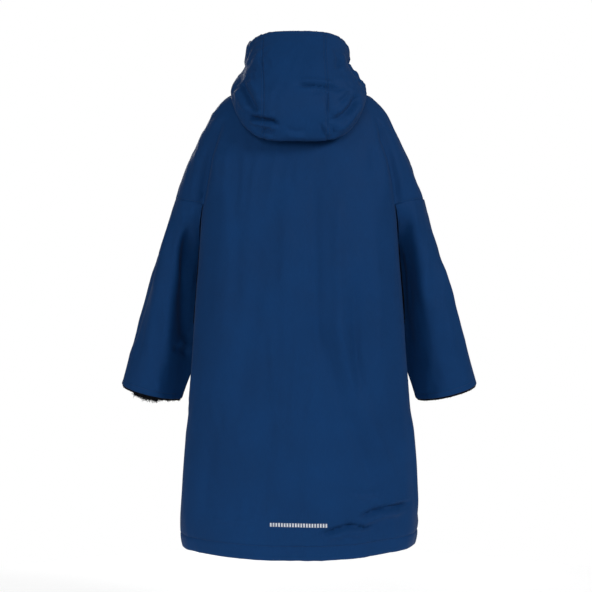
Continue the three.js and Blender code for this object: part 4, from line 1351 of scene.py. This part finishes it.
def declare(piece, surface, panel, line):
    """Says what size of cloth a piece was cut from, measured on its smooth surface."""
    chosen = surface.chosen(panel)
    corner = surface.flat[surface.faces[chosen]]
    crossed = np.cross(corner[:, 2] - corner[:, 0], corner[:, 3] - corner[:, 1])
    area = np.linalg.norm(crossed, axis=1).sum() / 2 * MM * MM
    width = np.ptp(surface.corners[chosen][..., 0]) * MM
    length = travelled(surface.flat[line])[-1] * MM
    area = min(area, width * length)
    print(f"{piece.name}: {width:.3f} x {length:.3f} m, area {area:.3f}")


HOOD_WALL = 2  # the hood's own wall, where it is folded into a bag
BODY_FREE, HOOD_FREE = free_edges()
cloth = {}


def build_cloth():
    for surface, free in ((skin, BODY_FREE), (hood, HOOD_FREE)):
        for panel in surface.names:
            thick = WALL if surface is skin else HOOD_WALL
            chosen = surface.chosen(panel)
            piece = wall_mesh(f"{panel}_cloth", surface, chosen, 0, thick, [SHELL, FLEECE_CLOTH], free)
            cloth[panel] = shown(piece, "robe", "shell", panel)


build_cloth()


# ---------------------------------------------------------------- fleece linings

CUFF_DEPTH, CUFF_SHOWS, RIM_SHOWS = 40, 5, 2
TUFT = 3.1  # the radius of one tuft of the pile
TUFT_SHARE = 4.5  # points of the fine grid for each tuft


def denser(points, times):
    """A grid with its rows so many times closer together."""
    last = len(points) - 1
    at = np.linspace(0, last, int(round(times * last)) + 1)
    low = np.minimum(at.astype(int), last - 1)
    return mix(points[low], points[low + 1], (at - low)[:, None, None])


def pile(points):
    """The depth of a curly pile at each point, as a share: least between its tufts."""
    count = int(len(points) / TUFT_SHARE)
    seeds = points[rng.choice(len(points), count, replace=False)] + rng.uniform(-1.4, 1.4, (count, 3))
    height = rng.uniform(0.75, 1.1, count)
    tree = tree_of(seeds)
    found = [tree.find(p) for p in points]
    off = np.array([f[2] for f in found]) / TUFT
    tall = height[[f[1] for f in found]]
    return 0.35 + 0.65 * tall * np.sqrt(np.maximum(0, 1 - off ** 2))


def lone_surface(name, grid, turn, across, along, closed=False):
    """A surface with one panel over a grid of points, and the points' numbers."""
    surface = Skin()
    index = surface.add(grid[:, :-1] if closed else grid)
    if closed:
        index = np.concatenate([index, index[:, :1]], axis=1)
    surface.weave(index, name, turn, across, along)
    surface.close()
    surface.flat = surface.points
    return surface, index


def fleece_piece(name, grid, turn, closed, times=2):
    """A lining of curly pile inside a grid of points on the shell's outer face."""
    grid = denser(denser(grid, times).swapaxes(0, 1), times).swapaxes(0, 1)
    along = travelled(grid[:, 0])[:, None]
    surface, index = lone_surface(name, grid, turn, across_of(grid), along, closed)
    near = WALL + LINING_GAP
    far = near + FLEECE * pile(surface.points)
    materials = [FLEECE_CLOTH, FLEECE_CLOTH]
    piece = wall_mesh(name, surface, surface.chosen(name), near, far, materials, True, 0, 0.6)
    shown(piece, "robe", "fleece", name.replace("_fleece", ""))
    return piece, surface, index


def beyond(grid, distance):
    """A grid with one more row, a distance past its last."""
    way = unit(grid[-1] - grid[-3])
    return np.concatenate([grid, grid[-1:] + way * distance])


def curls(name, roots, ways, lengths, thick):
    """Short strands: each starts at its root, heads its own way and curls over."""
    count, rings, sides = len(roots), 6, 3
    t = np.linspace(0, 1, rings)[None, :, None]
    ways = unit(ways)[:, None]
    over = unit(np.cross(ways, rng.normal(size=(count, 1, 3))))
    third = np.cross(ways, over)
    bend = rng.uniform(0.6, 2.8, (count, 1, 1))
    lengths = lengths[:, None, None]
    sine, cosine = np.sin(bend * t), np.cos(bend * t)
    middle = roots[:, None] + lengths / bend * (sine * ways + (1 - cosine) * over)
    out = cosine * over - sine * ways
    radius = (thick * (1 - 0.7 * t))[:, :, None]
    turn = (2 * np.pi * np.arange(sides) / sides)[None, None, :, None]
    round_it = np.cos(turn) * out[:, :, None] + np.sin(turn) * third[:, :, None]
    verts = middle[:, :, None] + radius * round_it
    faces = []
    for r in range(rings - 1):
        for k in range(sides):
            a, b = r * sides + k, r * sides + (k + 1) % sides
            faces += [(a, a + sides, b), (b, a + sides, b + sides)]
    end = (rings - 1) * sides
    faces += [(0, 1, 2), (end + 2, end + 1, end)]
    faces = copies(faces, count, rings * sides)
    return make_mesh(name, verts.reshape(-1, 3), faces, [FLEECE_CLOTH], sharp=None)


ROOT_DEPTH = 1.5  # how far inside the edge a curl starts


def edge_curls(edge, inner, spacing, length, spread=0.5):
    """Curls along a lining's edge: edge is its last row, and inner a row further in."""
    along = travelled(edge)
    at = np.arange(0, along[-1], spacing)
    at = np.clip(at + rng.uniform(-spacing, spacing, len(at)), 0, along[-1])
    roots, before = resample(edge, at), resample(inner, at)
    ways = unit(roots - before) + rng.normal(size=roots.shape) * spread
    lengths = length * rng.uniform(0.5, 1.2, len(at))
    return roots - unit(roots - before) * ROOT_DEPTH, ways, lengths


def fringe(name, surface, index, depths, spacing, length, thick, more=None):
    """Curls along a lining's last row, at some depths of its pile, with more of them on request."""
    normals = surface.normals()
    found = []
    for depth in depths:
        edge = surface.points[index[-1]] - normals[index[-1]] * depth
        inner = surface.points[index[-3]] - normals[index[-3]] * depth
        found.append(edge_curls(edge, inner, spacing, length))
        if more:
            found.append(more(edge, inner))
    return shown(curls(name, *map(np.concatenate, zip(*found)), thick), "robe", "fleece")


def build_hood_lining():
    stages = hood_parts["left"].stages
    first = int(np.argmin(np.abs(stages - LINED_FROM)))
    rows = [hood_row(r, from_zip=6) for r in range(first, len(stages))]
    grid = beyond(hood.points[np.array(rows)], RIM_SHOWS)
    piece, surface, index = fleece_piece("hood_lining_fleece", grid, -1, False, 1.4)
    made = fringe("hood_rim_curls", surface, index, (4.5, 6.5, 8.5), 1.5, 4.6, 0.6)
    declare(piece, surface, "hood_lining_fleece", index[:, index.shape[1] // 2])


# The stretch of the left cuff where the pile hangs out, thinly at first.
THIN_FROM, TUFTS_FROM, TUFTS_TO, TUFTS_BEHIND = 285, 352, 410, -45
LOCK = 4.2  # the pile there parts into locks this wide


def hanging_tufts(edge, inner):
    r, w, l = edge_curls(edge, inner, 0.22, 10.5, 0.35)
    x, y = r[:, 0], r[:, 1]
    l *= 1 - 0.55 * smooth(TUFTS_FROM + 8, TUFTS_FROM - 8, x)
    l *= rng.uniform(0.45, 1.6, 200)[(x / LOCK).astype(int)]
    here = (x > THIN_FROM) & (x < TUFTS_TO) & (y > TUFTS_BEHIND)
    here &= (x > TUFTS_FROM) | (rng.uniform(0, 1, len(r)) < 0.3)
    return r[here], w[here], l[here]


def build_cuff_lining(side, name):
    part = body[name]
    first = int(np.argmin(np.abs(part.tips - (CUFF_TIP + CUFF_DEPTH))))
    grid = beyond(skin.points[part.sleeve[first:]], CUFF_SHOWS)
    label = f"cuff_lining_{name}_fleece"
    piece, surface, index = fleece_piece(label, grid, -side, True)
    more = hanging_tufts if side == LEFT else None
    made = fringe(f"cuff_curls_{name}", surface, index, (4.5, 6.5, 8.0), 1.7, 3.6, 0.85, more)
    declare(piece, surface, label, index[:, 0])


build_hood_lining()
for side, name in SIDES:
    build_cuff_lining(side, name)


# ---------------------------------------------------------------- stitching

STITCH, STITCH_PITCH, THREAD_RADIUS = 3.2, 4.1, 0.42
# Along a stitch: the share of its length, how far it stands out, and its thickness.
SPINDLE = ((0, -0.35, 0), (0.22, 0.12, 1), (0.5, 0.2, 1.1), (0.78, 0.12, 1), (1, -0.35, 0))
ROUND = 4  # points round the thread


def stitches(name, lines):
    """Lines of thread. Each stitch is a spindle that dips into the cloth at both ends."""
    verts, faces, start = [], [], 0
    share, lift, wide = np.array(SPINDLE).T
    lift, wide = lift[None, :, None], wide[None, :, None] * THREAD_RADIUS
    tail = 1 + ROUND * (len(SPINDLE) - 2)
    one = []
    for k in range(ROUND):
        n = (k + 1) % ROUND
        one += [(0, 1 + k, 1 + n), (tail, tail - ROUND + n, tail - ROUND + k)]
        for r in range(1, tail - ROUND, ROUND):
            one += [(r + k, r + ROUND + k, r + n), (r + n, r + ROUND + k, r + ROUND + n)]
    for points, normals in lines:
        first = np.arange(1, travelled(points)[-1] - STITCH, STITCH_PITCH)
        at = (first[:, None] + STITCH * share).ravel()
        middle = resample(points, at).reshape(len(first), -1, 3)
        along = travelled(points)
        up = np.stack([np.interp(at, along, normals[:, k]) for k in range(3)], axis=1)
        up = unit(up).reshape(len(first), -1, 3)
        across = unit(np.cross(up, (middle[:, -1] - middle[:, 0])[:, None]))
        middle = middle + up * lift
        rings = [middle + wide * (up * a + across * b) for a, b in ((1, 0), (0, 1), (-1, 0), (0, -1))]
        rings = np.stack(rings, axis=2)[:, 1:-1].reshape(len(first), -1, 3)
        verts.append(np.concatenate([middle[:, :1], rings, middle[:, -1:]], axis=1).reshape(-1, 3))
        faces.append(copies(one, len(first), tail + 1, start))
        start += len(first) * (tail + 1)
    piece = make_mesh(name, np.concatenate(verts), np.concatenate(faces), [THREAD], sharp=None)
    return shown(piece, "robe", "shell")


def build_stitching():
    on_body, on_hood = skin.normals(), hood.normals()

    def body_line(index):
        return skin.points[index], on_body[index]

    def hood_line(index):
        return hood.points[index], on_hood[index]

    found = {"back": [stitches("hem_stitches", [body_line(LINES["hem"])])]}
    for name, part in body.items():
        found[f"front_{name}"] = [stitches(f"zip_stitches_{name}", [body_line(LINES[f"zip_{name}"])])]
        found[f"sleeve_{name}"] = [stitches(f"cuff_stitches_{name}", [body_line(LINES[f"cuff_{name}"])])]
        found["back"].append(stitches(f"armhole_stitches_{name}", [body_line(part.arm[-3, 1:-1])]))
    lines = [hood_line(part.centre[3:, -3]) for part in hood_parts.values()]
    rim = [hood_line(HOOD_LINES["rim"])]
    found["hood_centre"] = [stitches("hood_stitches", lines), stitches("rim_stitches", rim)]
    for name, part in hood_parts.items():
        lines = [hood_line(part.outer[3:, 2]), hood_line(part.outer[:, -3])]
        found[f"hood_side_{name}"] = [stitches(f"hood_side_stitches_{name}", lines)]
    return found


# ---------------------------------------------------------------- reflective bars on the back

BARS, BAR_PITCH, BAR_WIDE, BAR_HIGH, BARS_MIDDLE, BARS_Z = 21, 6.6, 3.9, 9.0, 1.5, -1075
BAR_THICK, BAR_SUNK, BARS_SLOPE, BARS_REACH = 0.5, -0.05, 0.015, 30
OUTSIDE = 400  # a depth behind all of the robe


def reflective_bars():
    """A row of equal printed bars that follow the cloth."""
    chosen = skin.chosen("back")
    near = np.abs(skin.points[skin.faces[chosen]].mean(axis=1)[:, 2] - BARS_Z) < BARS_REACH
    faces = skin.faces[chosen][near]
    tree = BVHTree.FromPolygons([tuple(p) for p in skin.points], [tuple(map(int, f)) for f in faces])

    def on_back(x, z):
        return tree.ray_cast(Vector((x, OUTSIDE, z)), Vector((0, -1, 0)))[0]

    printed = Skin()
    for i in range(BARS):
        middle = BARS_MIDDLE + (i - (BARS - 1) / 2) * BAR_PITCH
        x = middle + np.linspace(-0.5, 0.5, 4) * BAR_WIDE
        z = BARS_Z + middle * BARS_SLOPE + np.linspace(0.5, -0.5, 7) * BAR_HIGH
        grid = np.array([[on_back(a, b) for a in x] for b in z])
        index = printed.add(grid)
        printed.weave(index, "bars", -1, x[None], z[:, None])
    printed.close()
    materials = [REFLECTIVE, REFLECTIVE]
    chosen = printed.chosen("bars")
    piece = wall_mesh("reflective_bars", printed, chosen, -BAR_THICK, BAR_SUNK, materials, True, 0, 0)
    return shown(piece, "robe", "reflective", "reflective_strip")


# ---------------------------------------------------------------- front zip

TAPE_FROM, TAPE_TO, TAPE_DEPTH, TAPE_THICK = 0.8, 17, 5.4, 1
TOOTH_PITCH, TOOTH_SHIFT, TOOTH = 3.0, 0.7, (4.2, 3.0, 2.1)
TOOTH_DEPTH, CORD_HALF, CORD_FROM = 1.4, 2.7, 2.6
TOOTH_SCALE = 0.72, 0.62  # across the zip and along it


def zip_line():
    """The middle front from the chin to the hem, as evenly spaced points (y, z)."""
    part, top = body["left"], hood_parts["left"]
    line = np.concatenate([
        hood.flat[top.outer[::-1, -1]], skin.flat[part.front[:, -1]], skin.flat[part.low_front[1:, -1]],
    ])[:, 1:]
    count = int(travelled(line)[-1] / 5)
    line = resample(line, np.linspace(2, travelled(line)[-1] - 6, count))
    for _ in range(6):
        line[1:-1] = (line[:-2] + 2 * line[1:-1] + line[2:]) / 4
    return line


def zip_strip(name, line, x, near, far, material):
    x = np.array(x, float)
    grid = np.empty((len(line), len(x), 3))
    grid[..., 0] = x
    grid[..., 1:] = line[:, None]
    surface, index = lone_surface(name, grid, 1, x[None], travelled(line)[:, None])
    chosen = surface.chosen(name)
    piece = wall_mesh(name, surface, chosen, near, far, [material, material], True, 0, 0.2)
    return piece, surface, index


def tooth_shape():
    """A chamfered block. Sorting its points and triangles gives the same order every time."""
    shape = bmesh.new()
    bmesh.ops.create_cube(shape, size=1)
    bmesh.ops.scale(shape, vec=TOOTH, verts=shape.verts)
    bmesh.ops.bevel(shape, geom=list(shape.edges), offset=0.45, segments=2, affect="EDGES")
    bmesh.ops.triangulate(shape, faces=list(shape.faces))
    verts = sorted(shape.verts, key=lambda v: tuple(round(c, 4) for c in v.co))
    number = {v: i for i, v in enumerate(verts)}
    points = np.array([v.co[:] for v in verts])
    rings = [[number[v] for v in face.verts] for face in shape.faces]
    shape.free()
    return points, np.array(sorted(np.roll(ring, -ring.index(min(ring))).tolist() for ring in rings))


def build_zip():
    line = zip_line()
    cord, _, _ = zip_strip("zip_cord", line, [-CORD_HALF, 0, CORD_HALF], CORD_FROM, TAPE_DEPTH, TAPE)
    shown(cord, "robe", "zip_tape")
    for side, name in SIDES:
        x = np.linspace(TAPE_FROM, TAPE_TO, 6)
        x = x if side == LEFT else -x[::-1]
        label = f"zip_tape_{name}_cloth"
        depths = TAPE_DEPTH + 0.05, TAPE_DEPTH + TAPE_THICK
        tape, surface, index = zip_strip(label, line, x, *depths, TAPE)
        shown(tape, "robe", "zip_tape", f"zip_tape_{name}")
        declare(tape, surface, label, index[:, 0])
    points, faces = tooth_shape()
    at = np.arange(2, travelled(line)[-1] - 2, TOOTH_PITCH / 2)
    place = resample(line, at)
    along = unit(np.gradient(place, axis=0))
    out = np.stack([along[:, 1], -along[:, 0]], axis=1)
    shift = np.where(np.arange(len(at)) % 2, TOOTH_SHIFT, -TOOTH_SHIFT)
    place = place - out * TOOTH_DEPTH
    verts = np.empty((len(at), len(points), 3))
    verts[..., 0] = points[None, :, 0] * TOOTH_SCALE[0] + shift[:, None] * 1.6
    for k in range(2):
        verts[..., 1 + k] = (
            place[:, None, k] + points[None, :, 1] * out[:, None, k]
            - points[None, :, 2] * TOOTH_SCALE[1] * along[:, None, k]
        )
    faces = copies(faces, len(at), len(points))
    teeth = make_mesh("zip_teeth", verts.reshape(-1, 3), faces, [PLASTIC], sharp=35)
    shown(teeth, "robe", "zip_plastic", "zip_chain")
    for node in ("zip_slider", "zip_pull"):
        for slot in bpy.data.objects[node].material_slots:
            slot.material = PLASTIC


on_cloth = build_stitching()
on_cloth["back"].append(reflective_bars())
for panel, line in longest_lines().items():
    declare(cloth[panel], skin if panel in skin.names else hood, panel, line)
build_zip()


# ---------------------------------------------------------------- camera, light and floor

def aim(obj, place, target):
    obj.location = place
    obj.rotation_euler = (Vector(target) - Vector(place)).to_track_quat("-Z", "Y").to_euler()


CAMERA_PLACE = (0.0075, 3.494, -0.530)


def add_camera():
    camera = bpy.data.objects.new("camera", bpy.data.cameras.new("camera"))
    camera.data.lens = 85
    camera.data.sensor_width = 36
    bpy.context.scene.collection.objects.link(camera)
    aim(camera, CAMERA_PLACE, (CAMERA_PLACE[0], 0, CAMERA_PLACE[2]))
    bpy.context.scene.camera = camera


def area_light(name, place, target, size, energy):
    light = bpy.data.objects.new(name, bpy.data.lights.new(name, "AREA"))
    light.data.shape = "DISK"
    light.data.size = size
    light.data.energy = energy
    bpy.context.scene.collection.objects.link(light)
    aim(light, place, target)


def add_world():
    world = bpy.data.worlds.new("studio")
    world.use_nodes = True
    tree = world.node_tree
    background = tree.nodes["Background"]
    path = tree.nodes.new("ShaderNodeLightPath")
    strength = tree.nodes.new("ShaderNodeMix")
    strength.inputs["A"].default_value = 0.2
    strength.inputs["B"].default_value = 1.0
    tree.links.new(path.outputs["Is Camera Ray"], strength.inputs["Factor"])
    tree.links.new(strength.outputs["Result"], background.inputs["Strength"])
    background.inputs["Color"].default_value = (1, 1, 1, 1)
    bpy.context.scene.world = world
    bpy.context.scene.view_settings.view_transform = "Standard"


def add_floor():
    mesh = bpy.data.meshes.new("floor")
    shape = bmesh.new()
    bmesh.ops.create_circle(shape, cap_ends=True, radius=1.6, segments=96)
    shape.to_mesh(mesh)
    shape.free()
    mesh.materials.append(floor_material())
    floor = bpy.data.objects.new("floor", mesh)
    floor.location = (0, 0, -1.45)
    bpy.context.scene.collection.objects.link(floor)


add_camera()
add_world()
add_floor()
for name, place, size, energy in (
    ("key", (-2.9, 2.5, 1.5), 1.3, 85),
    ("behind", (0.5, 3.9, 0.6), 1.6, 44),
    ("side", (2.9, 2.2, 0.2), 1.6, 28),
    ("front", (0.9, -3.5, 1.2), 2.0, 70),
):
    area_light(name, place, (0, 0, -0.5), size, energy)
